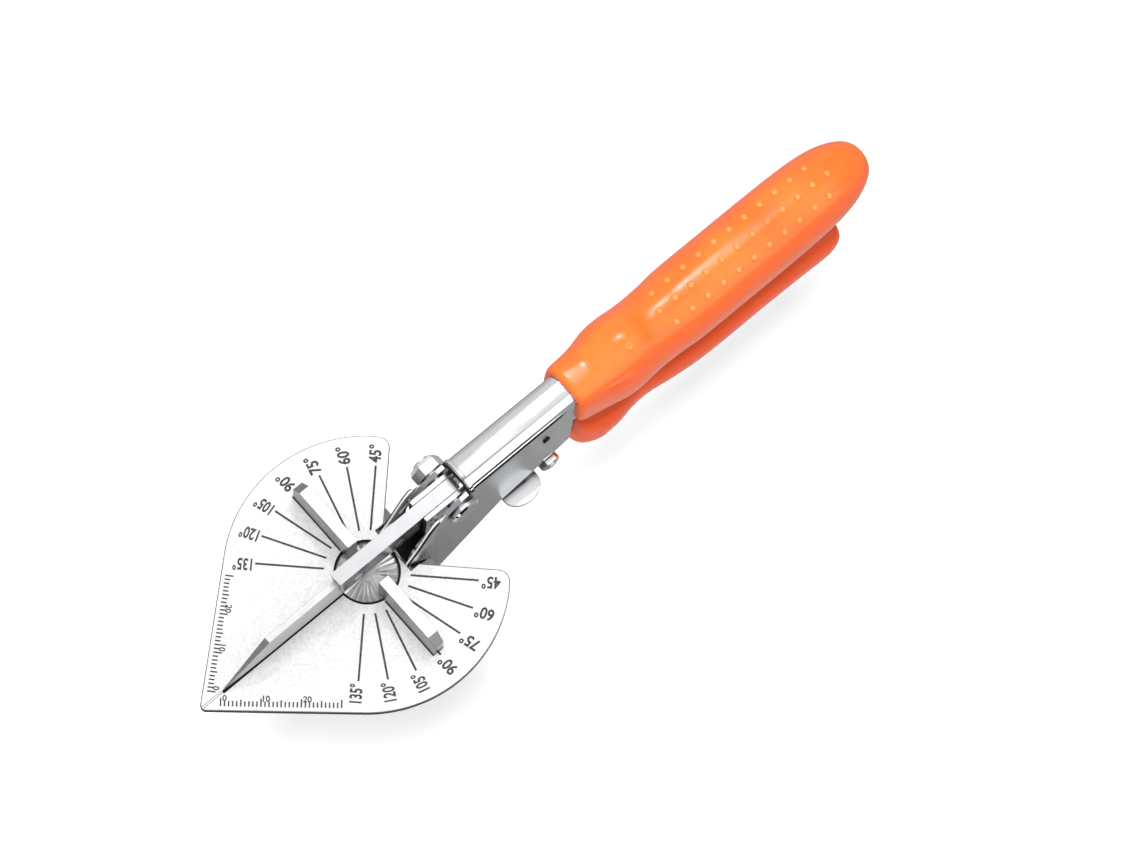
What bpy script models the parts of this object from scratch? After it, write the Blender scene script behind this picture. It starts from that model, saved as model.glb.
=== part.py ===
"""Multi-angle mitre shears: a spade-shaped base plate with a swivelling fence, a blade lever
that crosses the upper handle at one pivot, two dipped grips, a return spring and a thumb latch.

Frame: metres, +X towards the plate's tip, +Y to the left, +Z up. The origin lies on the
fence's turning axis, in the plane of the plate's underside.
"""

import math

import bmesh
import bpy
from mathutils import Vector

# Clearances that neighbouring pieces keep
SEAT_GAP = 0.0003
SLIDE_GAP = 0.0002
CUT_OVERRUN = 0.004

# Base plate: a circle about the fence axis, with two tangents that meet at the tip
PLATE_THICKNESS = 0.002
PLATE_RADIUS = 0.0365
PLATE_APEX_X = 0.0548
PLATE_TIP_RADIUS = 0.0015
PLATE_CORNER_RADIUS = 0.003
PLATE_REAR_OFFSET = 0.00465
NOTCH_HALF_WIDTH = 0.0068
NOTCH_FRONT_X = -0.0088
HUB_HOLE_RADIUS = 0.0082
HUB_FLANGE_RADIUS = 0.0095
HUB_FLANGE_THICKNESS = 0.0008

# Fence: a serrated hub that carries two bars
FENCE_THICKNESS = 0.003
FENCE_HEIGHT = 0.0096
FENCE_INNER_RADIUS = 0.0058
FENCE_OUTER_RADIUS = 0.0273
FENCE_CHAMFER_LENGTH = 0.0026
FENCE_CHAMFER_DROP = 0.0034
FENCE_TENON_LENGTH = 0.0014
FENCE_TENON_HALF_WIDTH = 0.0011
HUB_RECESS_DEPTH = 0.0004
HUB_BOSS_RADIUS = 0.0022
SERRATION_DEPTH = 0.0006
SERRATION_COUNT = 30

# Upper handle: one pressed channel, open downwards
CHANNEL_THICKNESS = 0.0012
CHANNEL_TOP_Z = 0.0247
CHANNEL_HALF_WIDTH = 0.0052
CHANNEL_CORNER_RADIUS = 0.0034
COLLAR_X = -0.0287
COLLAR_WALL_Z = 0.0215
CHANNEL_FRONT_X = -0.0094
SKIRT_HALF_WIDTH = 0.0092
SKIRT_BOTTOM_Z = -0.0058
SKIRT_REAR_X = -0.0168
SKIRT_STRAIGHT_X = -0.012
WAIST_X = -0.0385
WAIST_HALF_WIDTH = 0.00775
WAIST_BOTTOM_Z = 0.002
SHOULDER_X = -0.062
SHOULDER_HALF_WIDTH = 0.0074
SHOULDER_BOTTOM_Z = 0.006
TANG_X = -0.0645
TANG_HALF_WIDTH = 0.0054
TANG_BOTTOM_Z = 0.011
TANG_END_X = -0.150
TANG_DROP = 0.0015
TANG_DROP_X = -0.074
EAR_THICKNESS = 0.0015
EAR_REACH_Y = 0.019
EAR_WEB_X = -0.015
WALL_EDGE_POWER = 1.5
STRAIGHT_POWER = 5.0
SKIRT_POWER = 1.7
WAIST_POWER = 1.5
SHOULDER_POWER = 1.2
TANG_POWER = 1.0
STRAIGHT_SHARES = (0.33, 0.66)
FLARE_SHARES = (0.15, 0.3, 0.45, 0.6, 0.75, 0.88)

# Heel block and the pin that ties it between the channel's walls
HEEL_HALF_WIDTH = 0.005
HEEL_TOP_Z = -0.001
HEEL_BOTTOM_Z = -0.0054
HEEL_LENGTH = 0.0115
HEEL_PIN_RADIUS = 0.0014
HEEL_PIN_X = -0.0132
HEEL_PIN_Z = -0.0032
HEEL_PIN_HALF_LENGTH = 0.0081

# Studs that fix the ears under the lobes
STUD_RADIUS = 0.0018
STUD_HEAD_RADIUS = 0.0031
STUD_HEAD_HEIGHT = 0.0011
STUD_X = -0.0135
STUD_Y = 0.0142

# Pivot of the two levers
PIVOT_X = -0.0261
PIVOT_Z = 0.016
PIVOT_RADIUS = 0.0025
PIVOT_FACE_Y = 0.0057
PIVOT_FACE_RADIUS = 0.005
PIVOT_HEAD_RADIUS = 0.0044
PIVOT_HEAD_HEIGHT = 0.0015
PIVOT_NUT_ACROSS_FLATS = 0.008
PIVOT_NUT_HEIGHT = 0.0038
PIVOT_NUT_DOME = 0.0012
PIVOT_END_STAND = 0.0006
PIVOT_NUT_RIM_SHARE = 0.82

# Blade and its folded holder
BLADE_THICKNESS = 0.0018
BLADE_EDGE_THICKNESS = 0.0002
BLADE_BEVEL_HEIGHT = 0.0032
BLADE_TIP_X = 0.0475
BLADE_SPINE_FRONT_X = 0.0326
BLADE_SPINE_FRONT_Z = 0.016
BLADE_SPINE_Z = 0.0165
BLADE_REAR_X = -0.014
HOLDER_SHEET = 0.0008
HOLDER_TOP_Z = 0.0201
HOLDER_SKIRT_Z = 0.0108
HOLDER_FRONT_X = 0.0107
HOLDER_FRONT_RAKE = 0.0008
HOLDER_REAR_X = -0.0217
HOLDER_TONGUE_X = -0.0284
HOLDER_TONGUE_THICKNESS = 0.0004
BLADE_SCREW_X = (0.0045, -0.009)
BLADE_SCREW_Z = 0.0136
BLADE_SCREW_RADIUS = 0.0014
BLADE_SCREW_HEAD_RADIUS = 0.0025
BLADE_SCREW_HEAD_HEIGHT = 0.001
BLADE_SCREW_RIM_SHARE = 0.7
HOLDER_RIVET_X = -0.0189
HOLDER_RIVET_Z = (0.0174, 0.0132)
HOLDER_RIVET_RADIUS = 0.0011

# Blade lever: two cheeks with a web, running back and down into the lower grip
CHEEK_THICKNESS = 0.0012
LEVER_FRONT_X = -0.0162
LEVER_TOP_Z = 0.0201
LEVER_NOSE_Z = 0.0085
LEVER_EYE_RADIUS = 0.0085
LEVER_SHOULDER_X = -0.037
LEVER_TANG_TOP_Z = -0.003
LEVER_TANG_BOTTOM_Z = -0.012
LEVER_TANG_SLOPE = 0.001
LEVER_TANG_X = -0.068
LEVER_END_X = -0.148
WEB_FRONT_X = -0.046

# Where the lever's neck bends: shares of the way from the pivot to the latch's screw, and of
# the drop from the lever's top, or for the lower edge from its nose, to where it ends
LEVER_BACK_SHARES = (0.68, 0.3)
LEVER_NECK_SHARES = (0.9, 0.78)
LEVER_BELLY_SHARES = (0.42, 0.37)

# Return spring: a torsion coil round the pivot with two legs
SPRING_WIRE_RADIUS = 0.00035
SPRING_MEAN_RADIUS = 0.0031
SPRING_HALF_WIDTH = 0.00145
SPRING_TURNS = 2.5
SPRING_POINTS_PER_TURN = 10
SPRING_UPPER_REACH = 0.0175
SPRING_LOWER_REACH = 0.0225

# Latch: a thumb tab and a hook on one screw, and the pin that it catches
LATCH_X = -0.0551
LATCH_Z = 0.001
LATCH_THICKNESS = 0.0005
LATCH_TAB_FRONT_X = -0.0392
LATCH_TAB_LENGTH = 0.0114
LATCH_TAB_ROOT_Y = 0.0085
LATCH_TAB_REACH_Y = 0.0127
LATCH_TAB_THICKNESS = 0.001
LATCH_TAB_DROP = 0.0012
LATCH_ARM_WIDTH = 0.003
LATCH_HOOK_DEPTH = 0.0012
LATCH_FOOT_SHARE = 0.85
LATCH_SCREW_RADIUS = 0.0014
LATCH_SCREW_HEAD_RADIUS = 0.0024
LATCH_SCREW_HEAD_HEIGHT = 0.0009
LATCH_SCREW_END_STAND = 0.0003
LATCH_WASHER_RADIUS = 0.0029
LATCH_WASHER_THICKNESS = 0.0022
LATCH_NUT_ACROSS_FLATS = 0.0053
LATCH_NUT_HEIGHT = 0.0024
LATCH_NUT_SHARES = (0.8, 0.85)
CATCH_PIN_X = -0.0545
CATCH_PIN_Z = 0.0155
CATCH_PIN_RADIUS = 0.001
CATCH_PIN_STAND = 0.0003

# Grips: dipped sleeves, lofted through sections
UPPER_GRIP_FRONT_X = -0.0648
UPPER_GRIP_END_X = -0.1723
UPPER_GRIP_AXIS_Z = 0.0142
UPPER_GRIP_HALF_WIDTH = 0.0106
UPPER_GRIP_RISE = 0.0132
UPPER_GRIP_DEPTH = 0.0112
LOWER_GRIP_FRONT_X = -0.0688
LOWER_GRIP_END_X = -0.1614
LOWER_GRIP_AXIS_Z = -0.0082
LOWER_GRIP_HALF_WIDTH = 0.0109
LOWER_GRIP_RISE = 0.0091
LOWER_GRIP_DEPTH = 0.0154
GRIP_POINTS_ROUND = 36
GRIP_STEPS = 2

# Each row: share of the length, of the half width, of the rise, of the depth, and the
# section's squareness, where 2 is an ellipse
UPPER_GRIP_SHARES = (
    (0.000, 0.640, 0.886, 0.500, 5.0),
    (0.016, 0.672, 0.890, 0.571, 4.5),
    (0.048, 0.738, 0.902, 0.732, 3.6),
    (0.086, 0.811, 0.902, 0.857, 3.0),
    (0.123, 0.910, 0.962, 0.929, 2.6),
    (0.160, 0.964, 1.000, 0.964, 2.4),
    (0.197, 0.973, 1.000, 0.982, 2.3),
    (0.234, 0.937, 0.947, 0.991, 2.3),
    (0.281, 0.930, 0.879, 1.000, 2.4),
    (0.327, 0.950, 0.864, 1.000, 2.4),
    (0.383, 0.991, 0.879, 1.000, 2.5),
    (0.541, 1.000, 0.894, 1.000, 2.5),
    (0.700, 1.000, 0.886, 0.991, 2.5),
    (0.811, 0.982, 0.864, 0.946, 2.4),
    (0.886, 0.910, 0.788, 0.839, 2.3),
    (0.941, 0.757, 0.667, 0.661, 2.2),
    (0.979, 0.541, 0.477, 0.446, 2.1),
    (0.995, 0.306, 0.273, 0.232, 2.0),
    (1.000, 0.108, 0.098, 0.071, 2.0),
)
LOWER_GRIP_SHARES = (
    (0.000, 0.550, 0.923, 0.604, 3.2),
    (0.020, 0.697, 0.956, 0.831, 2.9),
    (0.057, 0.850, 0.978, 0.974, 2.5),
    (0.089, 0.880, 0.989, 1.000, 2.4),
    (0.131, 0.872, 0.989, 0.935, 2.3),
    (0.183, 0.807, 1.000, 0.740, 2.3),
    (0.247, 0.798, 1.000, 0.597, 2.4),
    (0.331, 0.899, 1.000, 0.571, 2.5),
    (0.436, 0.982, 1.000, 0.597, 2.5),
    (0.563, 1.000, 1.000, 0.623, 2.5),
    (0.679, 1.000, 0.989, 0.636, 2.5),
    (0.837, 1.020, 0.967, 0.623, 2.6),
    (0.932, 1.040, 0.945, 0.610, 2.8),
    (0.974, 1.000, 0.900, 0.575, 2.8),
    (0.993, 0.880, 0.750, 0.480, 2.7),
    (1.000, 0.560, 0.450, 0.300, 2.5),
)

# Point counts of round shapes
FINE_SEGMENTS = 40
ROUND_SEGMENTS = 24
FILLET_POINTS = 6
WALL_POINTS = 9
FLATNESS_SHARE = 0.0001
SHARP_DEGREES = 35.0

# Colours, linear, with roughness and metallic value
STEEL = ((0.62, 0.63, 0.65), 0.28, 1.0)
BRIGHT_STEEL = ((0.78, 0.79, 0.80), 0.18, 1.0)
DARK_STEEL = ((0.30, 0.30, 0.31), 0.4, 1.0)
ORANGE_UPPER = ((0.95, 0.22, 0.04), 0.35, 0.0)
ORANGE_LOWER = ((0.85, 0.13, 0.03), 0.4, 0.0)

# Values that several pieces share
PLATE_TOP = PLATE_THICKNESS
HOLDER_HALF = BLADE_THICKNESS / 2 + SLIDE_GAP + HOLDER_SHEET
CHEEK_INNER = HOLDER_HALF + SLIDE_GAP
CHEEK_OUTER = CHEEK_INNER + CHEEK_THICKNESS
LATCH_INNER = CHEEK_OUTER + SLIDE_GAP
LATCH_OUTER = LATCH_INNER + LATCH_THICKNESS
LATCH_TAB_REAR_X = LATCH_TAB_FRONT_X - LATCH_TAB_LENGTH
LEVER_WEB_LIFT = CHEEK_THICKNESS + SEAT_GAP
EDGE_Z = PLATE_TOP + SEAT_GAP
HUB_RADIUS = HUB_HOLE_RADIUS - SEAT_GAP
HUB_TOP_Z = PLATE_TOP - SEAT_GAP
EAR_TOP_Z = -SEAT_GAP


def clear_scene():
    """Remove whatever the open file holds, so that only the tool is left."""
    for leftover in list(bpy.data.objects):
        bpy.data.objects.remove(leftover, do_unlink=True)


def material(name, finish):
    """A Principled material from a colour, a roughness and a metallic value."""
    colour, roughness, metallic = finish
    made = bpy.data.materials.new(name)
    made.use_nodes = True
    shader = made.node_tree.nodes["Principled BSDF"]
    shader.inputs["Base Color"].default_value = (*colour, 1.0)
    shader.inputs["Roughness"].default_value = roughness
    shader.inputs["Metallic"].default_value = metallic
    made.diffuse_color = (*colour, 1.0)
    return made


def axis_empty(name, place, parent=None):
    """An empty on a joint's axis, which the moving pieces hang on."""
    empty = bpy.data.objects.new(name, None)
    bpy.context.scene.collection.objects.link(empty)
    empty.location = place
    if parent is not None:
        empty.parent = parent
        empty.location = Vector(place) - parent.matrix_world.translation
    bpy.context.view_layer.update()
    return empty


def finish_piece(shape, name, finish, axis):
    """Name a piece, give it its material and hang it on its body's axis empty."""
    shape.name = name
    shape.data.name = name
    shape.data.materials.clear()
    shape.data.materials.append(material(name, finish))
    offset = axis.matrix_world.translation
    if shape.type == "MESH":
        for vertex in shape.data.vertices:
            vertex.co -= offset
        shape.data.shade_smooth()
        shape.data.set_sharp_from_angle(angle=math.radians(SHARP_DEGREES))
    else:
        for spline in shape.data.splines:
            for point in spline.points:
                point.co = (*(point.co.xyz - offset), 1.0)
    shape.parent = axis
    for modifier in shape.modifiers:
        modifier.object.parent = axis
        for vertex in modifier.object.data.vertices:
            vertex.co -= offset
    return shape


def mesh_object(name, bm):
    """Link a mesh object made from a bmesh, with flat faces that point out."""
    bent = [face for face in bm.faces if len(face.verts) == 4]
    bmesh.ops.connect_verts_nonplanar(bm, angle_limit=FLATNESS_SHARE, faces=bent)
    bmesh.ops.recalc_face_normals(bm, faces=bm.faces)
    mesh = bpy.data.meshes.new(name)
    bm.to_mesh(mesh)
    bm.free()
    shape = bpy.data.objects.new(name, mesh)
    bpy.context.scene.collection.objects.link(shape)
    return shape


def loft(name, rings):
    """Join rings of equally many points into one closed skin with flat ends."""
    bm = bmesh.new()
    rows = [[bm.verts.new(point) for point in ring] for ring in rings]
    count = len(rows[0])
    for near, far in zip(rows, rows[1:]):
        for index in range(count):
            after = (index + 1) % count
            bm.faces.new((near[index], near[after], far[after], far[index]))
    bm.faces.new(rows[0])
    bm.faces.new(rows[-1])
    return mesh_object(name, bm)


def prism_z(name, outline, low, high):
    """A plate: an outline in X and Y between two heights."""
    return loft(name, [[(x, y, z) for x, y in outline] for z in (low, high)])


def prism_y(name, outline, low, high):
    """A side-view outline in X and Z between two places along Y."""
    return loft(name, [[(x, y, z) for x, z in outline] for y in (low, high)])


def circle(x, z, radius, segments):
    """Points round a circle in the side view."""
    turns = (math.tau * index / segments for index in range(segments))
    return [(x + radius * math.cos(turn), z + radius * math.sin(turn)) for turn in turns]


def turned_y(name, x, z, profile, segments=ROUND_SEGMENTS):
    """A piece turned about an axis along Y; the profile lists (y, radius)."""
    rings = []
    for y, radius in profile:
        rings.append([(px, y, pz) for px, pz in circle(x, z, radius, segments)])
    return loft(name, rings)


def turned_z(name, x, y, profile, segments=ROUND_SEGMENTS):
    """A piece turned about an axis along Z; the profile lists (z, radius)."""
    rings = []
    for z, radius in profile:
        rings.append([(px, py, z) for px, py in circle(x, y, radius, segments)])
    return loft(name, rings)


def boolean(target, other, operation="DIFFERENCE"):
    """Cut a hidden shape out of a piece, or fuse it on."""
    modifier = target.modifiers.new(other.name, "BOOLEAN")
    modifier.operation = operation
    modifier.object = other
    modifier.solver = "EXACT"
    other.hide_render = True
    other.display_type = "WIRE"
    return target


def bore_y(target, x, z, radius, low, high, segments=ROUND_SEGMENTS):
    """Bore a round hole along Y."""
    name = f"{target.name}_bore_{len(target.modifiers)}"
    return boolean(target, turned_y(name, x, z, ((low, radius), (high, radius)), segments))


def filleted(corners):
    """An outline from (x, y, radius) corners, each rounded with its own radius."""
    outline = []
    total = len(corners)
    for index, (x, y, radius) in enumerate(corners):
        if radius == 0:
            outline.append((x, y))
            continue
        here = Vector((x, y))
        before = (Vector(corners[index - 1][:2]) - here).normalized()
        after = (Vector(corners[(index + 1) % total][:2]) - here).normalized()
        half = before.angle(after) / 2
        centre = here + (before + after).normalized() * radius / math.sin(half)
        start = here + before * radius / math.tan(half) - centre
        end = here + after * radius / math.tan(half) - centre
        for step in range(FILLET_POINTS + 1):
            share = step / FILLET_POINTS
            outline.append(tuple(centre + start.slerp(end, share).normalized() * radius))
    return outline


def lobe_corner():
    """Where a lobe's arc meets its slanting rear edge."""
    half = PLATE_REAR_OFFSET / 2
    reach = math.sqrt(PLATE_RADIUS ** 2 / 2 - half ** 2)
    return -half - reach, reach - half


def plate_outline():
    """The spade outline: tip, tangents, lobes, slanting rear edges and the notch."""
    tangent = math.acos(PLATE_RADIUS / PLATE_APEX_X)
    corner_x, corner_y = lobe_corner()
    corner = math.atan2(corner_y, corner_x)
    stop = corner - 2 * PLATE_CORNER_RADIUS / PLATE_RADIUS
    arc = []
    for step in range(FINE_SEGMENTS + 1):
        turn = tangent + (stop - tangent) * step / FINE_SEGMENTS
        arc.append((PLATE_RADIUS * math.cos(turn), PLATE_RADIUS * math.sin(turn), 0))
    half = arc + [
        (corner_x, corner_y, PLATE_CORNER_RADIUS),
        (-PLATE_REAR_OFFSET - NOTCH_HALF_WIDTH, NOTCH_HALF_WIDTH, 0),
        (NOTCH_FRONT_X, NOTCH_HALF_WIDTH, 0),
    ]
    other = [(x, -y, radius) for x, y, radius in reversed(half)]
    return filleted([(PLATE_APEX_X, 0, PLATE_TIP_RADIUS)] + half + other)


def make_base_plate(axis):
    """The plate, with the hub's hole and its counterbore from below."""
    plate = prism_z("base_plate", plate_outline(), 0, PLATE_THICKNESS)
    hole = turned_z("hub_hole", 0, 0, ((-CUT_OVERRUN, HUB_HOLE_RADIUS),
                                       (CUT_OVERRUN, HUB_HOLE_RADIUS)), FINE_SEGMENTS)
    sink = HUB_FLANGE_RADIUS + SEAT_GAP
    depth = HUB_FLANGE_THICKNESS + SEAT_GAP
    counterbore = turned_z("hub_counterbore", 0, 0, ((-CUT_OVERRUN, sink), (depth, sink)),
                           FINE_SEGMENTS)
    boolean(plate, hole)
    boolean(plate, counterbore)
    return finish_piece(plate, "base_plate", BRIGHT_STEEL, axis)


def hub_ring(radius, height, dip):
    """A ring of the hub, with every second point lowered to a serration's floor."""
    ring = []
    for index in range(2 * SERRATION_COUNT):
        turn = math.pi * index / SERRATION_COUNT
        z = height - (dip if index % 2 else 0)
        ring.append((radius * math.cos(turn), radius * math.sin(turn), z))
    return ring


def tenon_box(name, side, margin, low, high):
    """The tenon of a fence bar, or with a margin the slot that takes it."""
    half = FENCE_TENON_HALF_WIDTH + margin
    near = side * (FENCE_INNER_RADIUS + SLIDE_GAP - margin)
    far = side * (FENCE_INNER_RADIUS + SLIDE_GAP + FENCE_TENON_LENGTH + margin)
    corners = [(-half, near), (half, near), (half, far), (-half, far)]
    return prism_z(name, corners, low, high)


def make_fence_hub(axis):
    """The serrated disc: a flange below, radial grooves on top and two tenon slots."""
    flange_z = HUB_FLANGE_THICKNESS
    rings = [
        hub_ring(HUB_FLANGE_RADIUS, 0, 0),
        hub_ring(HUB_FLANGE_RADIUS, flange_z, 0),
        hub_ring(HUB_RADIUS, flange_z, 0),
        hub_ring(HUB_RADIUS, HUB_TOP_Z, SERRATION_DEPTH),
        hub_ring(HUB_BOSS_RADIUS, HUB_TOP_Z, SERRATION_DEPTH / 2),
        hub_ring(HUB_BOSS_RADIUS * HUB_RADIUS / HUB_FLANGE_RADIUS, HUB_TOP_Z, 0),
    ]
    hub = loft("fence_hub", rings)
    for side, word in ((1, "left"), (-1, "right")):
        slot = tenon_box(f"hub_slot_{word}", side, SLIDE_GAP, -CUT_OVERRUN, CUT_OVERRUN)
        seat_half = FENCE_THICKNESS / 2 + SLIDE_GAP
        inner = side * (FENCE_INNER_RADIUS - SLIDE_GAP)
        outer = side * (HUB_RADIUS + CUT_OVERRUN)
        corners = [(-seat_half, inner), (seat_half, inner), (seat_half, outer), (-seat_half, outer)]
        floor = HUB_TOP_Z - SERRATION_DEPTH - HUB_RECESS_DEPTH / 2
        boolean(hub, slot)
        boolean(hub, prism_z(f"hub_seat_{word}", corners, floor, CUT_OVERRUN))
    return finish_piece(hub, "fence_hub", STEEL, axis)


def make_fence_bar(side, word, axis):
    """One fence bar: a chamfered bar over the plate, with a foot and a tenon in the hub."""
    half = FENCE_THICKNESS / 2
    top = EDGE_Z + FENCE_HEIGHT
    foot_z = HUB_TOP_Z - SERRATION_DEPTH - HUB_RECESS_DEPTH / 2 + SLIDE_GAP
    foot_end = HUB_RADIUS - SLIDE_GAP
    side_view = [
        (FENCE_INNER_RADIUS, foot_z),
        (foot_end, foot_z),
        (foot_end, EDGE_Z),
        (FENCE_OUTER_RADIUS, EDGE_Z),
        (FENCE_OUTER_RADIUS, top - FENCE_CHAMFER_DROP),
        (FENCE_OUTER_RADIUS - FENCE_CHAMFER_LENGTH, top),
        (FENCE_INNER_RADIUS, top),
    ]
    rings = [[(x, side * reach, z) for reach, z in side_view] for x in (-half, half)]
    bar = loft(f"fence_bar_{word}", rings)
    tenon = tenon_box(f"tenon_{word}", side, 0, 0, foot_z + FENCE_TENON_LENGTH)
    boolean(bar, tenon, "UNION")
    return finish_piece(bar, f"fence_bar_{word}", BRIGHT_STEEL, axis)


def blend(low, high, share):
    """A value part of the way from one value to another."""
    return low + (high - low) * share


def channel_stations():
    """Places along the channel: x, half width and height at the wall's foot, flare power, and
    how far the crown is sunk where that isn't zero."""
    straight = (SKIRT_HALF_WIDTH, SKIRT_BOTTOM_Z, STRAIGHT_POWER)
    skirt = (SKIRT_HALF_WIDTH, SKIRT_BOTTOM_Z, SKIRT_POWER)
    waist = (WAIST_HALF_WIDTH, WAIST_BOTTOM_Z, WAIST_POWER)
    shoulder = (SHOULDER_HALF_WIDTH, SHOULDER_BOTTOM_Z, SHOULDER_POWER)
    tang = (TANG_HALF_WIDTH, TANG_BOTTOM_Z, TANG_POWER)
    sunk = (TANG_HALF_WIDTH, TANG_BOTTOM_Z, TANG_POWER, TANG_DROP)
    stations = [(CHANNEL_FRONT_X, *straight), (SKIRT_STRAIGHT_X, *straight)]
    for share in STRAIGHT_SHARES:
        blended = (blend(a, b, share) for a, b in zip(straight, skirt))
        stations.append((blend(SKIRT_STRAIGHT_X, SKIRT_REAR_X, share), *blended))
    stations.append((SKIRT_REAR_X, *skirt))
    for share in FLARE_SHARES:
        width, foot, power = (blend(a, b, share) for a, b in zip(skirt, waist))
        stations.append((blend(SKIRT_REAR_X, WAIST_X, share), width, foot, power))
    stations.append((WAIST_X, *waist))
    middle = (blend(a, b, 0.5) for a, b in zip(waist, shoulder))
    stations.append((blend(WAIST_X, SHOULDER_X, 0.5), *middle))
    stations.append((SHOULDER_X, *shoulder))
    stations.append((TANG_X, *tang))
    stations.append((TANG_DROP_X, *sunk))
    stations.append((TANG_END_X, *sunk))
    return stations


def wall_half_width(height, foot_half, foot_z, power):
    """Outer half width of the channel at a height, which flares towards the foot."""
    start = CHANNEL_TOP_Z - CHANNEL_CORNER_RADIUS
    share = (start - height) / (start - foot_z)
    return CHANNEL_HALF_WIDTH + (foot_half - CHANNEL_HALF_WIDTH) * share ** power


def channel_half_profile(foot_half, foot_z, power, drop, inset):
    """Left half of the channel's section from the foot to the crown, set in by an inset."""
    start = CHANNEL_TOP_Z - CHANNEL_CORNER_RADIUS - drop
    points = []
    for step in range(WALL_POINTS):
        height = blend(foot_z, start, step / WALL_POINTS)
        points.append((wall_half_width(height, foot_half, foot_z, power) - inset, height))
    centre = CHANNEL_HALF_WIDTH - CHANNEL_CORNER_RADIUS
    for step in range(FILLET_POINTS + 1):
        turn = math.pi / 2 * step / FILLET_POINTS
        radius = CHANNEL_CORNER_RADIUS - inset
        points.append((centre + radius * math.cos(turn), start + radius * math.sin(turn)))
    return points


def channel_ring(x, foot_half, foot_z, power, drop=0, thickness=0):
    """One closed section of the channel, or of its filled envelope without a thickness."""
    outer = channel_half_profile(foot_half, foot_z, power, drop, 0)
    ring = [(x, y, z) for y, z in outer]
    ring += [(x, -y, z) for y, z in reversed(outer)]
    if thickness:
        inner = channel_half_profile(foot_half, foot_z, power, drop, thickness)
        ring += [(x, -y, z) for y, z in inner]
        ring += [(x, y, z) for y, z in reversed(inner)]
    return ring


def wall_edge_outline():
    """The space above the walls' curved front edges, in side view."""
    top = CHANNEL_TOP_Z + CUT_OVERRUN
    run = CHANNEL_FRONT_X - COLLAR_X
    rise = COLLAR_WALL_Z - PLATE_TOP
    outline = [(COLLAR_X, top)]
    for step in range(FINE_SEGMENTS // 2 + 1):
        share = step / (FINE_SEGMENTS // 2)
        height = (1 - share ** WALL_EDGE_POWER) ** (1 / WALL_EDGE_POWER)
        outline.append((COLLAR_X + run * share, PLATE_TOP + rise * height))
    outline.append((CHANNEL_FRONT_X + CUT_OVERRUN, PLATE_TOP))
    outline.append((CHANNEL_FRONT_X + CUT_OVERRUN, top))
    return outline


def ear_outline(side):
    """The ear that reaches from a wall's foot out under its lobe."""
    inset = 2 * SEAT_GAP
    wall = CHANNEL_HALF_WIDTH + CHANNEL_THICKNESS / 2
    rear = EAR_REACH_Y - CUT_OVERRUN + PLATE_REAR_OFFSET
    points = [
        (CHANNEL_FRONT_X - inset, wall),
        (CHANNEL_FRONT_X - inset, NOTCH_HALF_WIDTH + inset),
        (CHANNEL_FRONT_X + HUB_BOSS_RADIUS, HUB_FLANGE_RADIUS + CUT_OVERRUN / 2),
        (CHANNEL_FRONT_X, EAR_REACH_Y),
        (-rear + inset, EAR_REACH_Y),
        (-rear + inset, EAR_REACH_Y - CUT_OVERRUN + 2 * inset),
        (EAR_WEB_X, -EAR_WEB_X - PLATE_REAR_OFFSET + inset),
        (EAR_WEB_X, wall),
    ]
    return [(x, side * y) for x, y in points]


def make_upper_handle(axis):
    """The pressed channel with its cut-away front, ears, pivot faces and bores."""
    rings = [channel_ring(*place, thickness=CHANNEL_THICKNESS) for place in channel_stations()]
    handle = loft("upper_handle", rings)
    reach = SKIRT_HALF_WIDTH + CUT_OVERRUN
    boolean(handle, prism_y("wall_edge_cut", wall_edge_outline(), -reach, reach))
    for side, word in ((1, "left"), (-1, "right")):
        ear = prism_z(f"ear_{word}", ear_outline(side), EAR_TOP_Z - EAR_THICKNESS, EAR_TOP_Z)
        boolean(handle, ear, "UNION")
        face = ((side * PIVOT_FACE_Y, PIVOT_FACE_RADIUS), (side * reach, PIVOT_FACE_RADIUS))
        boolean(handle, turned_y(f"pivot_face_{word}", PIVOT_X, PIVOT_Z, face))
        stud = ((EAR_TOP_Z - CUT_OVERRUN, STUD_RADIUS + SLIDE_GAP), (0, STUD_RADIUS + SLIDE_GAP))
        boolean(handle, turned_z(f"stud_bore_{word}", STUD_X, side * STUD_Y, stud))
    bore_y(handle, PIVOT_X, PIVOT_Z, PIVOT_RADIUS + SLIDE_GAP, -reach, reach)
    bore_y(handle, HEEL_PIN_X, HEEL_PIN_Z, HEEL_PIN_RADIUS + SLIDE_GAP, -reach, reach)
    bore_y(handle, CATCH_PIN_X, CATCH_PIN_Z, CATCH_PIN_RADIUS + SLIDE_GAP, -reach, reach)
    return finish_piece(handle, "upper_handle", BRIGHT_STEEL, axis)


def make_heel(axis):
    """The spacer block that closes the channel's front, and its cross pin."""
    front = CHANNEL_FRONT_X - SEAT_GAP
    corners = [(front, HEEL_BOTTOM_Z), (front, HEEL_TOP_Z),
               (front - HEEL_LENGTH, HEEL_TOP_Z), (front - HEEL_LENGTH, HEEL_BOTTOM_Z)]
    block = prism_y("heel_block", corners, -HEEL_HALF_WIDTH, HEEL_HALF_WIDTH)
    reach = HEEL_HALF_WIDTH + CUT_OVERRUN
    bore_y(block, HEEL_PIN_X, HEEL_PIN_Z, HEEL_PIN_RADIUS + SLIDE_GAP, -reach, reach)
    finish_piece(block, "heel_block", DARK_STEEL, axis)
    ends = ((-HEEL_PIN_HALF_LENGTH, HEEL_PIN_RADIUS), (HEEL_PIN_HALF_LENGTH, HEEL_PIN_RADIUS))
    pin = turned_y("heel_pin", HEEL_PIN_X, HEEL_PIN_Z, ends)
    finish_piece(pin, "heel_pin", STEEL, axis)


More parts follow.
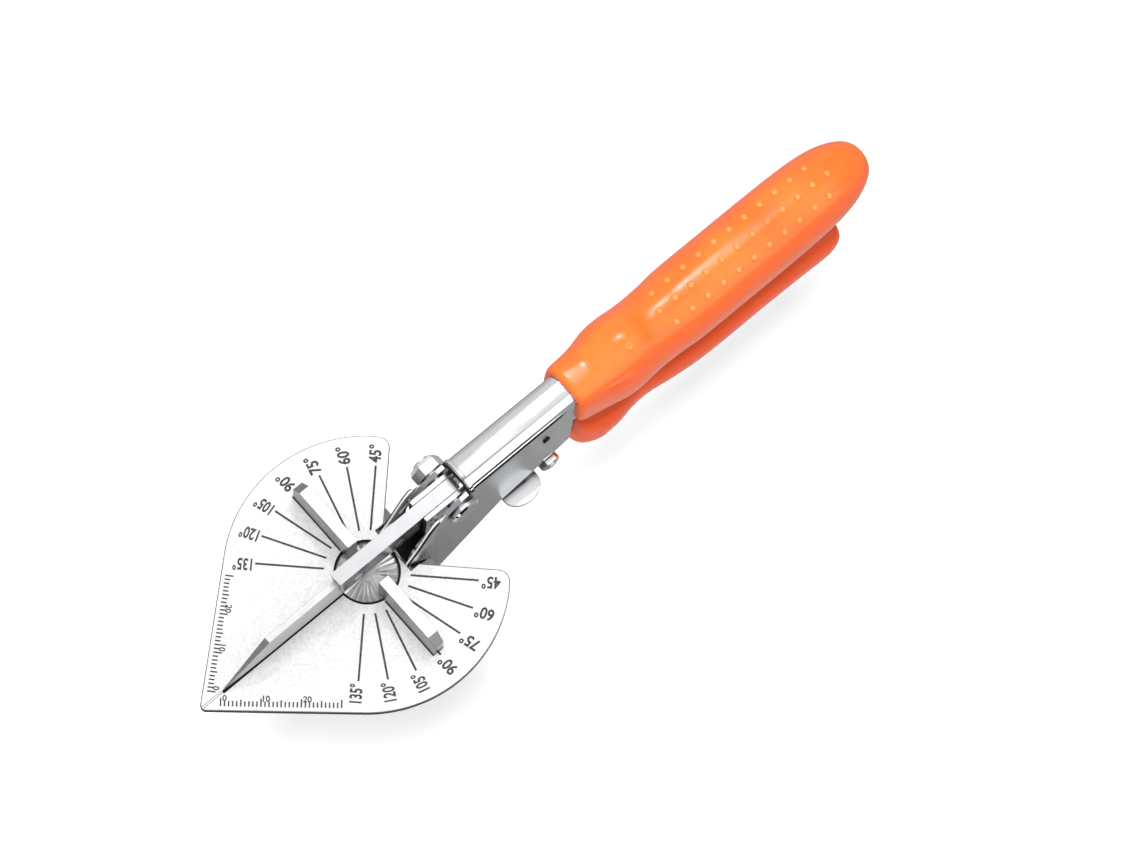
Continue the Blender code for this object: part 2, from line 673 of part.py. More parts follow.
def make_studs(axis):
    """The two studs under the lobes, riveted over below the ears."""
    neck = EAR_TOP_Z - EAR_THICKNESS - SLIDE_GAP
    for side, word in ((1, "left"), (-1, "right")):
        profile = ((neck - STUD_HEAD_HEIGHT, STUD_HEAD_RADIUS / 2),
                   (neck - STUD_HEAD_HEIGHT / 2, STUD_HEAD_RADIUS),
                   (neck, STUD_HEAD_RADIUS), (neck, STUD_RADIUS), (EAR_TOP_Z, STUD_RADIUS))
        stud = turned_z(f"plate_stud_{word}", STUD_X, side * STUD_Y, profile)
        finish_piece(stud, f"plate_stud_{word}", STEEL, axis)


def hexagon_nut(name, x, z, across_flats, profile, bore):
    """A hexagon nut along Y with a domed outer face; the profile lists (y, share of width)."""
    corner = across_flats / math.sqrt(3)
    rings = [[(px, y, pz) for px, pz in circle(x, z, corner * share, 6)] for y, share in profile]
    nut = loft(name, rings)
    low, high = sorted((profile[0][0], profile[-1][0]))
    return bore_y(nut, x, z, bore, low - CUT_OVERRUN, high + CUT_OVERRUN)


def make_pivot(axis):
    """The cross bolt with its low head on the left and its domed nut on the right."""
    head_y = PIVOT_FACE_Y + SEAT_GAP
    nut_y = -PIVOT_FACE_Y - SEAT_GAP
    nut_end = nut_y - PIVOT_NUT_HEIGHT
    rim = PIVOT_HEAD_RADIUS - PIVOT_HEAD_HEIGHT / 2
    bolt = turned_y("pivot_bolt", PIVOT_X, PIVOT_Z, (
        (nut_end - PIVOT_END_STAND, PIVOT_RADIUS), (head_y, PIVOT_RADIUS),
        (head_y, PIVOT_HEAD_RADIUS), (head_y + PIVOT_HEAD_HEIGHT / 2, PIVOT_HEAD_RADIUS),
        (head_y + PIVOT_HEAD_HEIGHT, rim)))
    finish_piece(bolt, "pivot_bolt", STEEL, axis)
    nut = hexagon_nut("pivot_nut", PIVOT_X, PIVOT_Z, PIVOT_NUT_ACROSS_FLATS,
                      ((nut_y, 1.0), (nut_end + PIVOT_NUT_DOME, 1.0), (nut_end, PIVOT_NUT_RIM_SHARE)),
                      PIVOT_RADIUS + SLIDE_GAP)
    finish_piece(nut, "pivot_nut", BRIGHT_STEEL, axis)


def make_catch_pin(axis):
    """The pin across the channel that the latch's hook catches."""
    wall = wall_half_width(CATCH_PIN_Z, SHOULDER_HALF_WIDTH, SHOULDER_BOTTOM_Z, SHOULDER_POWER)
    end = wall + CATCH_PIN_STAND
    pin = turned_y("catch_pin", CATCH_PIN_X, CATCH_PIN_Z,
                   ((-end, CATCH_PIN_RADIUS), (end, CATCH_PIN_RADIUS)))
    finish_piece(pin, "catch_pin", STEEL, axis)


def make_blade(axis):
    """The blade with its long ground bevel and the ground facet that narrows to its point."""
    edge = BLADE_EDGE_THICKNESS / 2
    body = BLADE_THICKNESS / 2
    bevel_z = EDGE_Z + BLADE_BEVEL_HEIGHT
    outline = [
        (BLADE_TIP_X, EDGE_Z, edge),
        (BLADE_SPINE_FRONT_X, BLADE_SPINE_FRONT_Z, body),
        (HOLDER_FRONT_X, BLADE_SPINE_Z, body),
        (BLADE_REAR_X, BLADE_SPINE_Z, body),
        (BLADE_REAR_X, bevel_z, body),
        (BLADE_REAR_X, EDGE_Z, edge),
    ]
    bm = bmesh.new()
    left = [bm.verts.new((x, y, z)) for x, z, y in outline]
    right = [bm.verts.new((x, -y, z)) for x, z, y in outline]
    for side, half in ((left, body), (right, -body)):
        grind = bm.verts.new((BLADE_SPINE_FRONT_X, half, bevel_z))
        bm.faces.new((side[0], side[1], grind))
        bm.faces.new((grind, side[1], side[2], side[3], side[4]))
        bm.faces.new((side[0], grind, side[4], side[5]))
    for index in range(len(outline)):
        after = (index + 1) % len(outline)
        bm.faces.new((left[index], left[after], right[after], right[index]))
    blade = mesh_object("blade", bm)
    for x in BLADE_SCREW_X:
        bore_y(blade, x, BLADE_SCREW_Z, BLADE_SCREW_RADIUS + SLIDE_GAP, -HOLDER_HALF, HOLDER_HALF)
    finish_piece(blade, "blade", BRIGHT_STEEL, axis)


def make_blade_holder(axis):
    """The folded holder over the blade's spine, its bar between the cheeks and the tongue
    that covers the return spring."""
    outline = [
        (HOLDER_FRONT_X, HOLDER_TOP_Z),
        (HOLDER_FRONT_X - HOLDER_FRONT_RAKE, HOLDER_SKIRT_Z),
        (HOLDER_REAR_X, HOLDER_SKIRT_Z),
        (HOLDER_REAR_X, HOLDER_TOP_Z - HOLDER_TONGUE_THICKNESS),
        (HOLDER_TONGUE_X, HOLDER_TOP_Z - HOLDER_TONGUE_THICKNESS),
        (HOLDER_TONGUE_X, HOLDER_TOP_Z),
    ]
    holder = prism_y("blade_holder", outline, -HOLDER_HALF, HOLDER_HALF)
    slot_half = HOLDER_HALF - HOLDER_SHEET
    slot_top = BLADE_SPINE_Z + SEAT_GAP
    front = HOLDER_FRONT_X + CUT_OVERRUN
    rear = HOLDER_REAR_X - CUT_OVERRUN
    box = [(front, 0), (front, slot_top), (rear, slot_top), (rear, 0)]
    boolean(holder, prism_y("holder_slot", box, -slot_half, slot_half))
    reach = HOLDER_HALF + CUT_OVERRUN
    for x in BLADE_SCREW_X:
        bore_y(holder, x, BLADE_SCREW_Z, BLADE_SCREW_RADIUS + SLIDE_GAP, -reach, reach)
    for z in HOLDER_RIVET_Z:
        bore_y(holder, HOLDER_RIVET_X, z, HOLDER_RIVET_RADIUS + SLIDE_GAP, -reach, reach)
    finish_piece(holder, "blade_holder", BRIGHT_STEEL, axis)


def make_blade_fasteners(axis):
    """Two screws that clamp the blade, and two rivets that fix the holder to the cheeks."""
    head = -HOLDER_HALF - SLIDE_GAP
    for x, word in zip(BLADE_SCREW_X, ("front", "rear")):
        profile = ((head - BLADE_SCREW_HEAD_HEIGHT, BLADE_SCREW_HEAD_RADIUS * BLADE_SCREW_RIM_SHARE),
                   (head - BLADE_SCREW_HEAD_HEIGHT / 2, BLADE_SCREW_HEAD_RADIUS),
                   (head, BLADE_SCREW_HEAD_RADIUS), (head, BLADE_SCREW_RADIUS),
                   (HOLDER_HALF, BLADE_SCREW_RADIUS))
        screw = turned_y(f"blade_screw_{word}", x, BLADE_SCREW_Z, profile)
        finish_piece(screw, f"blade_screw_{word}", STEEL, axis)
    end = CHEEK_OUTER + SLIDE_GAP
    for z, word in zip(HOLDER_RIVET_Z, ("upper", "lower")):
        rivet = turned_y(f"holder_rivet_{word}", HOLDER_RIVET_X, z,
                         ((-end, HOLDER_RIVET_RADIUS), (end, HOLDER_RIVET_RADIUS)))
        finish_piece(rivet, f"holder_rivet_{word}", STEEL, axis)


def lever_tang_rise(x):
    """Height that the tang loses from its front to a place along it."""
    return LEVER_TANG_SLOPE * (LEVER_TANG_X - x) / (LEVER_TANG_X - LEVER_END_X)


def lever_outline():
    """The lever in side view: nose, pivot eye, neck and tang."""
    back, back_drop = LEVER_BACK_SHARES
    neck, neck_drop = LEVER_NECK_SHARES
    belly, belly_drop = LEVER_BELLY_SHARES
    return [
        (LEVER_FRONT_X, LEVER_TOP_Z),
        (LEVER_SHOULDER_X, LEVER_TOP_Z),
        (blend(PIVOT_X, LATCH_X, back), blend(LEVER_TOP_Z, LATCH_Z, back_drop)),
        (LATCH_X - LATCH_ARM_WIDTH, LATCH_Z + LATCH_ARM_WIDTH / 2),
        (LEVER_TANG_X, LEVER_TANG_TOP_Z),
        (LEVER_END_X, LEVER_TANG_TOP_Z - lever_tang_rise(LEVER_END_X)),
        (LEVER_END_X, LEVER_TANG_BOTTOM_Z - lever_tang_rise(LEVER_END_X)),
        (LEVER_TANG_X, LEVER_TANG_BOTTOM_Z),
        (blend(PIVOT_X, LATCH_X, neck), blend(LEVER_NOSE_Z, LEVER_TANG_BOTTOM_Z, neck_drop)),
        (blend(PIVOT_X, LATCH_X, belly), blend(LEVER_NOSE_Z, LEVER_TANG_BOTTOM_Z, belly_drop)),
        (PIVOT_X, PIVOT_Z - LEVER_EYE_RADIUS),
        (LEVER_FRONT_X, LEVER_NOSE_Z),
    ]


def web_outline():
    """The web along the cheeks' lower edges, behind the spring's lower leg."""
    outline = lever_outline()
    rear, tang, neck, belly = outline[6], outline[7], outline[8], outline[9]
    share = (WEB_FRONT_X - neck[0]) / (belly[0] - neck[0])
    front = (WEB_FRONT_X, blend(neck[1], belly[1], share))
    rear = (rear[0] + CHEEK_THICKNESS, rear[1])
    lower = [(x, z + SEAT_GAP) for x, z in (rear, tang, neck, front)]
    upper = [(x, z + CHEEK_THICKNESS) for x, z in reversed(lower)]
    return lower + upper


def web_top(x):
    """Height of the web's upper face at a place along it."""
    outline = lever_outline()
    neck, belly = outline[8], outline[9]
    return blend(neck[1], belly[1], (x - neck[0]) / (belly[0] - neck[0])) + LEVER_WEB_LIFT


def make_blade_lever(axis):
    """Two cheeks joined by a web below, as one pressed part."""
    outline = lever_outline()
    lever = prism_y("blade_lever", outline, CHEEK_INNER, CHEEK_OUTER)
    other = prism_y("right_cheek", outline, -CHEEK_OUTER, -CHEEK_INNER)
    reach = CHEEK_INNER + CHEEK_THICKNESS / 2
    web = prism_y("lever_web", web_outline(), -reach, reach)
    boolean(lever, web, "UNION")
    boolean(lever, other, "UNION")
    reach = CHEEK_OUTER + CUT_OVERRUN
    bore_y(lever, PIVOT_X, PIVOT_Z, PIVOT_RADIUS + SLIDE_GAP, -reach, reach)
    for z in HOLDER_RIVET_Z:
        bore_y(lever, HOLDER_RIVET_X, z, HOLDER_RIVET_RADIUS + SLIDE_GAP, -reach, reach)
    bore_y(lever, LATCH_X, LATCH_Z, LATCH_SCREW_RADIUS + SLIDE_GAP, 0, reach)
    finish_piece(lever, "blade_lever", STEEL, axis)


def spring_path():
    """Points of the spring: upper leg, helix round the pivot, lower leg."""
    web_x = PIVOT_X - SPRING_LOWER_REACH
    rest_z = web_top(web_x) + SEAT_GAP + 2 * SPRING_WIRE_RADIUS
    crown = CHANNEL_TOP_Z - CHANNEL_THICKNESS - SEAT_GAP - SPRING_WIRE_RADIUS
    path = [(PIVOT_X - SPRING_UPPER_REACH, -SPRING_HALF_WIDTH, crown),
            (PIVOT_X - SPRING_MEAN_RADIUS, -SPRING_HALF_WIDTH, PIVOT_Z + SPRING_MEAN_RADIUS)]
    steps = int(SPRING_TURNS * SPRING_POINTS_PER_TURN)
    for step in range(steps + 1):
        share = step / steps
        turn = math.tau * SPRING_TURNS * share
        path.append((PIVOT_X + SPRING_MEAN_RADIUS * math.sin(turn),
                     blend(-SPRING_HALF_WIDTH, SPRING_HALF_WIDTH, share),
                     PIVOT_Z + SPRING_MEAN_RADIUS * math.cos(turn)))
    path.append((web_x, SPRING_HALF_WIDTH, rest_z))
    return path


def spring_self_gap(path):
    """Least gap between the coil's turns, measured on points of its helix."""
    coil = [Vector(point) for point in path[2:-1]]
    apart = SPRING_POINTS_PER_TURN // 2
    least = min((first - second).length
                for index, first in enumerate(coil) for second in coil[index + apart:])
    return least - 2 * SPRING_WIRE_RADIUS


def make_return_spring(axis):
    """The torsion spring as one unbroken tube."""
    path = spring_path()
    curve = bpy.data.curves.new("return_spring", "CURVE")
    curve.dimensions = "3D"
    curve.bevel_depth = SPRING_WIRE_RADIUS
    curve.bevel_resolution = 1
    curve.use_fill_caps = True
    spline = curve.splines.new("POLY")
    spline.points.add(len(path) - 1)
    for point, place in zip(spline.points, path):
        point.co = (*place, 1.0)
    spring = bpy.data.objects.new("return_spring", curve)
    bpy.context.scene.collection.objects.link(spring)
    print(f"return_spring least gap to itself: {spring_self_gap(path) * 1000:.2f} mm")
    finish_piece(spring, "return_spring", STEEL, axis)


def arm_outline():
    """The latch's arm and hook in side view, swung forward clear of the catch pin."""
    half = LATCH_ARM_WIDTH / 2
    tip = CATCH_PIN_X + 2 * CATCH_PIN_RADIUS + SEAT_GAP
    nose_low = CATCH_PIN_Z + CATCH_PIN_RADIUS + SEAT_GAP
    nose_top = nose_low + half
    inner = tip + LATCH_HOOK_DEPTH
    outer = inner + LATCH_ARM_WIDTH
    return [
        (LATCH_X + LATCH_ARM_WIDTH, LATCH_Z + half),
        (outer, CATCH_PIN_Z - LATCH_ARM_WIDTH),
        (outer, nose_low),
        (outer - half, nose_top),
        (tip, nose_top),
        (tip, nose_low),
        (inner, nose_low),
        (inner, CATCH_PIN_Z - LATCH_ARM_WIDTH),
        (LATCH_X - half, LATCH_Z + LATCH_ARM_WIDTH),
        (LATCH_X - LATCH_ARM_WIDTH, LATCH_Z),
        (LATCH_X - half, LATCH_Z - LATCH_ARM_WIDTH * LATCH_FOOT_SHARE),
        (LATCH_X + half, LATCH_Z - LATCH_ARM_WIDTH * LATCH_FOOT_SHARE),
        (LATCH_TAB_REAR_X, tab_low()),
        (LATCH_TAB_FRONT_X, tab_low()),
        (LATCH_TAB_FRONT_X, tab_low() + LATCH_TAB_THICKNESS),
        (LATCH_TAB_REAR_X, tab_low() + LATCH_TAB_THICKNESS),
    ]


def tab_low():
    """Underside of the thumb tab, which lies just below the channel's walls."""
    return WAIST_BOTTOM_Z - LATCH_TAB_DROP - LATCH_TAB_THICKNESS


def tab_outline():
    """The thumb tab from above: a strip under the wall with a half-round end."""
    middle = (LATCH_TAB_FRONT_X + LATCH_TAB_REAR_X) / 2
    half = (LATCH_TAB_FRONT_X - LATCH_TAB_REAR_X) / 2
    bulge = LATCH_TAB_REACH_Y - LATCH_TAB_ROOT_Y
    outline = [(LATCH_TAB_REAR_X, LATCH_INNER + SLIDE_GAP / 2),
               (LATCH_TAB_FRONT_X, LATCH_INNER + SLIDE_GAP / 2)]
    for step in range(ROUND_SEGMENTS // 2 + 1):
        turn = math.pi * step / (ROUND_SEGMENTS // 2)
        outline.append((middle + half * math.cos(turn), LATCH_TAB_ROOT_Y + bulge * math.sin(turn)))
    return outline


def make_latch(axis):
    """The latch plate: a hook arm that stands up inside the channel and a thumb tab."""
    latch = prism_y("latch", arm_outline(), LATCH_INNER, LATCH_OUTER)
    tab = prism_z("thumb_tab", tab_outline(), tab_low(), tab_low() + LATCH_TAB_THICKNESS)
    boolean(latch, tab, "UNION")
    bore_y(latch, LATCH_X, LATCH_Z, LATCH_SCREW_RADIUS + SLIDE_GAP, 0, LATCH_OUTER + CUT_OVERRUN)
    finish_piece(latch, "latch", STEEL, axis)


def make_latch_fasteners(axis):
    """The latch's screw through the left cheek, with its washer and nut."""
    head = CHEEK_INNER - SLIDE_GAP
    washer_y = LATCH_OUTER + SLIDE_GAP
    washer_end = washer_y + LATCH_WASHER_THICKNESS
    nut_y = washer_end + SLIDE_GAP
    nut_end = nut_y + LATCH_NUT_HEIGHT
    screw = turned_y("latch_screw", LATCH_X, LATCH_Z, (
        (head - LATCH_SCREW_HEAD_HEIGHT, LATCH_SCREW_HEAD_RADIUS),
        (head, LATCH_SCREW_HEAD_RADIUS), (head, LATCH_SCREW_RADIUS),
        (nut_end + LATCH_SCREW_END_STAND, LATCH_SCREW_RADIUS)))
    finish_piece(screw, "latch_screw", STEEL, axis)
    washer = turned_y("latch_washer", LATCH_X, LATCH_Z,
                      ((washer_y, LATCH_WASHER_RADIUS), (washer_end, LATCH_WASHER_RADIUS)))
    bore_y(washer, LATCH_X, LATCH_Z, LATCH_SCREW_RADIUS + SLIDE_GAP,
           washer_y - CUT_OVERRUN, washer_end + CUT_OVERRUN)
    finish_piece(washer, "latch_washer", STEEL, axis)
    dome_share, rim_share = LATCH_NUT_SHARES
    dome_y = blend(nut_y, nut_end, dome_share)
    nut = hexagon_nut("latch_nut", LATCH_X, LATCH_Z, LATCH_NUT_ACROSS_FLATS,
                      ((nut_y, 1.0), (dome_y, 1.0), (nut_end, rim_share)),
                      LATCH_SCREW_RADIUS + SLIDE_GAP)
    finish_piece(nut, "latch_nut", BRIGHT_STEEL, axis)


def smooth_rows(rows, steps):
    """Catmull-Rom rows between the given rows."""
    made = []
    last = len(rows) - 1
    for index in range(last):
        a, b, c, d = (rows[max(0, min(last, index + shift))] for shift in (-1, 0, 1, 2))
        for step in range(steps):
            t = step / steps
            made.append(tuple(
                ((2 * q) + (r - p) * t + (2 * p - 5 * q + 4 * r - s) * t * t
                 + (3 * q - p - 3 * r + s) * t ** 3) / 2
                for p, q, r, s in zip(a, b, c, d)))
    made.append(rows[-1])
    return made


def grip_ring(x, half, low, high, axis_z, squareness):
    """A rounded section of a grip, with its own rise and depth about its axis."""
    ring = []
    for index in range(GRIP_POINTS_ROUND):
        turn = math.tau * index / GRIP_POINTS_ROUND
        side, lift = math.cos(turn), math.sin(turn)
        y = half * math.copysign(abs(side) ** (2 / squareness), side)
        reach = high if lift > 0 else low
        ring.append((x, y, axis_z + reach * math.copysign(abs(lift) ** (2 / squareness), lift)))
    return ring


def grip_skin(name, front, end, axis_z, half, rise, depth, shares):
    """The outer skin of a grip, lofted through its sections."""
    rings = []
    for along, width, up, down, squareness in smooth_rows(shares, GRIP_STEPS):
        x = blend(front, end, along)
        rings.append(grip_ring(x, half * width, depth * down, rise * up, axis_z, squareness))
    return loft(name, rings)


def make_upper_grip(axis):
    """The upper sleeve, pocketed for the channel's tang."""
    grip = grip_skin("upper_grip", UPPER_GRIP_FRONT_X, UPPER_GRIP_END_X, UPPER_GRIP_AXIS_Z,
                     UPPER_GRIP_HALF_WIDTH, UPPER_GRIP_RISE, UPPER_GRIP_DEPTH, UPPER_GRIP_SHARES)
    margin = SEAT_GAP / TANG_HALF_WIDTH + 1
    front = UPPER_GRIP_FRONT_X + CUT_OVERRUN
    places = ((front, 0), (TANG_X, 0), (TANG_DROP_X, TANG_DROP), (TANG_END_X - SEAT_GAP, TANG_DROP))
    rings = []
    for x, drop in places:
        foot = TANG_BOTTOM_Z - 2 * SEAT_GAP
        ring = channel_ring(x, TANG_HALF_WIDTH, foot, TANG_POWER, drop)
        rings.append([(px, y * margin, z + SEAT_GAP) for px, y, z in ring])
    boolean(grip, loft("upper_pocket", rings))
    finish_piece(grip, "upper_grip", ORANGE_UPPER, axis)


def make_lower_grip(axis):
    """The lower sleeve with its finger guard, pocketed for the lever's tang."""
    grip = grip_skin("lower_grip", LOWER_GRIP_FRONT_X, LOWER_GRIP_END_X, LOWER_GRIP_AXIS_Z,
                     LOWER_GRIP_HALF_WIDTH, LOWER_GRIP_RISE, LOWER_GRIP_DEPTH, LOWER_GRIP_SHARES)
    front = LEVER_TANG_X + CUT_OVERRUN
    end = LEVER_END_X - SEAT_GAP
    pocket = [
        (front, LEVER_TANG_TOP_Z + SEAT_GAP - lever_tang_rise(front)),
        (end, LEVER_TANG_TOP_Z + SEAT_GAP - lever_tang_rise(end)),
        (end, LEVER_TANG_BOTTOM_Z - SEAT_GAP - lever_tang_rise(end)),
        (front, LEVER_TANG_BOTTOM_Z - SEAT_GAP - lever_tang_rise(front)),
    ]
    reach = CHEEK_OUTER + SEAT_GAP
    boolean(grip, prism_y("lower_pocket", pocket, -reach, reach))
    finish_piece(grip, "lower_grip", ORANGE_LOWER, axis)


def build():
    """Make the whole tool, body by body."""
    clear_scene()
    frame = axis_empty("tool_frame", (0, 0, 0))
    fence = axis_empty("fence_axis", (0, 0, 0), frame)
    lever = axis_empty("lever_axis", (PIVOT_X, 0, PIVOT_Z), frame)
    latch = axis_empty("latch_axis", (LATCH_X, 0, LATCH_Z), lever)
    make_base_plate(frame)
    make_upper_handle(frame)
    make_heel(frame)
    make_studs(frame)
    make_pivot(frame)
    make_catch_pin(frame)
    make_upper_grip(frame)
    make_fence_hub(fence)
    make_fence_bar(1, "left", fence)
    make_fence_bar(-1, "right", fence)
    make_blade_lever(lever)
    make_blade_holder(lever)
    make_blade(lever)
    make_blade_fasteners(lever)
    make_return_spring(lever)
    make_lower_grip(lever)
    make_latch_fasteners(lever)
    make_latch(latch)
    bpy.context.view_layer.update()


build()
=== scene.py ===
"""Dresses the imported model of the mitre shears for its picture.

Steel pieces become copies of the CAD nodes with broken edges and a worked finish, the two
dipped grips become smoother sleeves with their moulded bumps, and the plate gets its
engraved scales. The frame is the part's own: metres, +X to the plate's tip, +Z up.
"""

import logging
import math
from dataclasses import dataclass
from enum import Enum
from typing import Any, Iterable, Optional, Sequence, Union

import bmesh
import bpy
from mathutils import Matrix, Vector


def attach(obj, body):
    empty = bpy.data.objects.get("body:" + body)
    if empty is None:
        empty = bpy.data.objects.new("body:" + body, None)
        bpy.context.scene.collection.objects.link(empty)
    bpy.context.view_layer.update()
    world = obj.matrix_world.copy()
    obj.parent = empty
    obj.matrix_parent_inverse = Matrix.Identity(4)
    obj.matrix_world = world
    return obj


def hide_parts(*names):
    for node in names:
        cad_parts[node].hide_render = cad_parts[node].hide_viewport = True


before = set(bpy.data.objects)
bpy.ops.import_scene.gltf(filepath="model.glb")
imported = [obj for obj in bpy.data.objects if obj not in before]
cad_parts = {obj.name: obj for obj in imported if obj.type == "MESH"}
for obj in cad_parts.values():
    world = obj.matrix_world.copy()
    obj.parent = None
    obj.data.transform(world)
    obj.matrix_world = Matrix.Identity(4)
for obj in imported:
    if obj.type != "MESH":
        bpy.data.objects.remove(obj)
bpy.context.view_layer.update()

LOG = logging.getLogger("mitre_shears")
MM = 0.001
MERGE_DISTANCE = 0.002 * MM
SHARP_ANGLE = math.radians(32.0)
FLAT_ANGLE = math.radians(0.03)

Point = tuple[float, float, float]
Pair = tuple[float, float]
Corners = tuple[Point, Point, Point, Point]
Tree = bpy.types.NodeTree
Socket = bpy.types.NodeSocket
Mesh = bpy.types.Mesh
Material = bpy.types.Material


class Body(Enum):
    """The bodies that pieces ride on."""

    FRAME = "frame"
    FENCE = "fence"
    LEVER = "lever"
    LATCH = "latch"


class Slot(Enum):
    """The record's material slots."""

    PLATE = "plate_steel"
    HANDLE = "handle_steel"
    DARK = "dark_steel"
    FASTENER = "fastener_steel"
    FENCE = "fence_steel"
    LEVER = "lever_steel"
    HOLDER = "holder_steel"
    BLADE = "blade_steel"
    SPRING = "spring_steel"
    UPPER_GRIP = "upper_grip_vinyl"
    LOWER_GRIP = "lower_grip_vinyl"


class Working(Enum):
    """How a metal surface was worked: how far its grain is drawn out along X, Y and Z."""

    BLASTED = (1.0, 1.0, 1.0)
    DRAWN = (0.06, 1.0, 1.0)
    TURNED = (1.0, 0.1, 1.0)


# Nodes

# The range that nearly all of a noise's values lie in
NOISE_SPAN = (0.3, 0.7)
# Upright parts of the normal between which a surface changes from its side to its top: for steel's
# painted edge shade, steel's satin sides and vinyl's painted side shade
PAINTED_EDGE_SLOPE = (0.9, 0.985)
SATIN_SLOPE = (0.08, 0.24)
PAINTED_SIDE_SLOPE = (0.55, 0.99)
# Where a finish's first shade ends and its second starts
STEEL_STOPS = (0.12, 0.30)
VINYL_STOPS = (0.30, 0.62)
INK_STOPS = (0.42, 0.72)
# How far the orange-peel moves the vinyl's roughness
PEEL_SHIFT = (-0.02, 0.03)


def linear(hex_colour: str) -> tuple[float, float, float, float]:
    """Turn an sRGB hex colour into linear light.

    Args:
        hex_colour: six hex digits after a hash.

    Returns:
        Red, green, blue and an alpha of one.
    """
    values = [int(hex_colour[start:start + 2], 16) / 255.0 for start in (1, 3, 5)]
    red, green, blue = (value / 12.92 if value <= 0.04045 else ((value + 0.055) / 1.055) ** 2.4
                        for value in values)
    return (red, green, blue, 1.0)


def add_node(tree: Tree, kind: str, inputs: Optional[dict[Union[str, int], Any]] = None,
             **settings: Any) -> bpy.types.Node:
    """Add one node with its settings, and set or link its inputs.

    Args:
        tree: the node tree that takes the node.
        kind: Blender's name for the node's type.
        inputs: for each input socket, a value, or the output socket to link from.
        settings: the node's own properties.

    Returns:
        The new node.
    """
    node = tree.nodes.new(kind)
    for name, value in settings.items():
        setattr(node, name, value)
    for key, value in (inputs or {}).items():
        if isinstance(value, Socket):
            tree.links.new(value, node.inputs[key])
        else:
            node.inputs[key].default_value = value
    return node


def level_share(tree: Tree, normal: str, slope: Pair, target: Pair = (0.0, 1.0)) -> Socket:
    """Tell level faces from upright ones.

    Args:
        tree: the material's tree.
        normal: which normal to use, "Normal" or "True Normal".
        slope: the upright part of the normal where the result starts and stops changing.
        target: the result for upright faces and for level ones.

    Returns:
        The result's socket.
    """
    facing = add_node(tree, "ShaderNodeNewGeometry").outputs[normal]
    upward = add_node(tree, "ShaderNodeSeparateXYZ", {"Vector": facing}).outputs["Z"]
    share = add_node(tree, "ShaderNodeMath", {0: upward}, operation="ABSOLUTE").outputs[0]
    return add_node(tree, "ShaderNodeMapRange", {
        "Value": share, "From Min": slope[0], "From Max": slope[1],
        "To Min": target[0], "To Max": target[1]}).outputs["Result"]


# Finishes


@dataclass(frozen=True)
class Finish:
    """What the finishes share: a name, a main shade and how their material is made."""

    name: str
    shade: str

    def surface(self, tree: Tree, place: Socket) -> dict[str, Any]:
        """Add the nodes that are the finish's own.

        Args:
            tree: the material's tree.
            place: the place on the object.

        Returns:
            The shader's inputs.
        """
        raise NotImplementedError

    def build(self) -> Material:
        """Build the material's nodes.

        Returns:
            The material.
        """
        made = bpy.data.materials.new(self.name)
        made.use_nodes = True
        tree = made.node_tree
        tree.nodes.clear()
        place = add_node(tree, "ShaderNodeTexCoord").outputs["Object"]
        shader = add_node(tree, "ShaderNodeBsdfPrincipled", self.surface(tree, place))
        add_node(tree, "ShaderNodeOutputMaterial", {"Surface": shader.outputs["BSDF"]})
        made.diffuse_color = linear(self.shade)
        return made


@dataclass(frozen=True)
class SteelFinish(Finish):
    """A worked or plated steel surface: two shades, a roughness range and a grain."""

    dark_shade: str
    roughness: float
    roughness_spread: float
    grain_mm: float
    working: Working = Working.BLASTED
    relief_mm: float = 0.002
    cloud_mm: float = 9.0
    metallic: float = 1.0
    painted_edge_shade: str = ""
    side_roughness: float = 0.0

    def surface(self, tree: Tree, place: Socket) -> dict[str, Any]:
        """Add a drawn grain, clouding, and where the finish has them satin sides and upright faces
        painted a darker shade.

        Args:
            tree: the material's tree.
            place: the place on the object.

        Returns:
            The shader's inputs.
        """
        drawn = add_node(tree, "ShaderNodeMapping", {
            "Vector": place, "Scale": self.working.value}).outputs["Vector"]
        grain = add_node(tree, "ShaderNodeTexNoise", {
            "Vector": drawn, "Scale": 1.0 / (self.grain_mm * MM), "Detail": 3.0,
            "Roughness": 0.6}).outputs["Fac"]
        cloud = add_node(tree, "ShaderNodeTexNoise", {
            "Vector": place, "Scale": 1.0 / (self.cloud_mm * MM), "Detail": 2.0}).outputs["Fac"]
        mottle = add_node(tree, "ShaderNodeMath", {0: grain, 1: cloud},
                          operation="MULTIPLY").outputs[0]
        ramp = add_node(tree, "ShaderNodeValToRGB", {"Fac": mottle})
        for stop, position, shade in zip(ramp.color_ramp.elements, STEEL_STOPS,
                                         (self.dark_shade, self.shade)):
            stop.position = position
            stop.color = linear(shade)
        colour = ramp.outputs["Color"]
        rough = add_node(tree, "ShaderNodeMapRange", {
            "Value": grain, "From Min": NOISE_SPAN[0], "From Max": NOISE_SPAN[1],
            "To Min": self.roughness - self.roughness_spread,
            "To Max": self.roughness + self.roughness_spread}).outputs["Result"]
        if self.side_roughness:
            satin = level_share(tree, "Normal", SATIN_SLOPE, (self.side_roughness, 0.0))
            rough = add_node(tree, "ShaderNodeMath", {0: rough, 1: satin},
                             operation="MAXIMUM").outputs[0]
        # Painted shade: faces that are not level take the darker painted edge shade
        if self.painted_edge_shade:
            top = level_share(tree, "True Normal", PAINTED_EDGE_SLOPE)
            colour = add_node(tree, "ShaderNodeMix", {
                0: top, 6: linear(self.painted_edge_shade), 7: colour}, data_type="RGBA").outputs[2]
        bump = add_node(tree, "ShaderNodeBump", {
            "Height": grain, "Strength": 0.35, "Distance": self.relief_mm * MM})
        return {"Base Color": colour, "Metallic": self.metallic, "Roughness": rough,
                "Normal": bump.outputs["Normal"]}


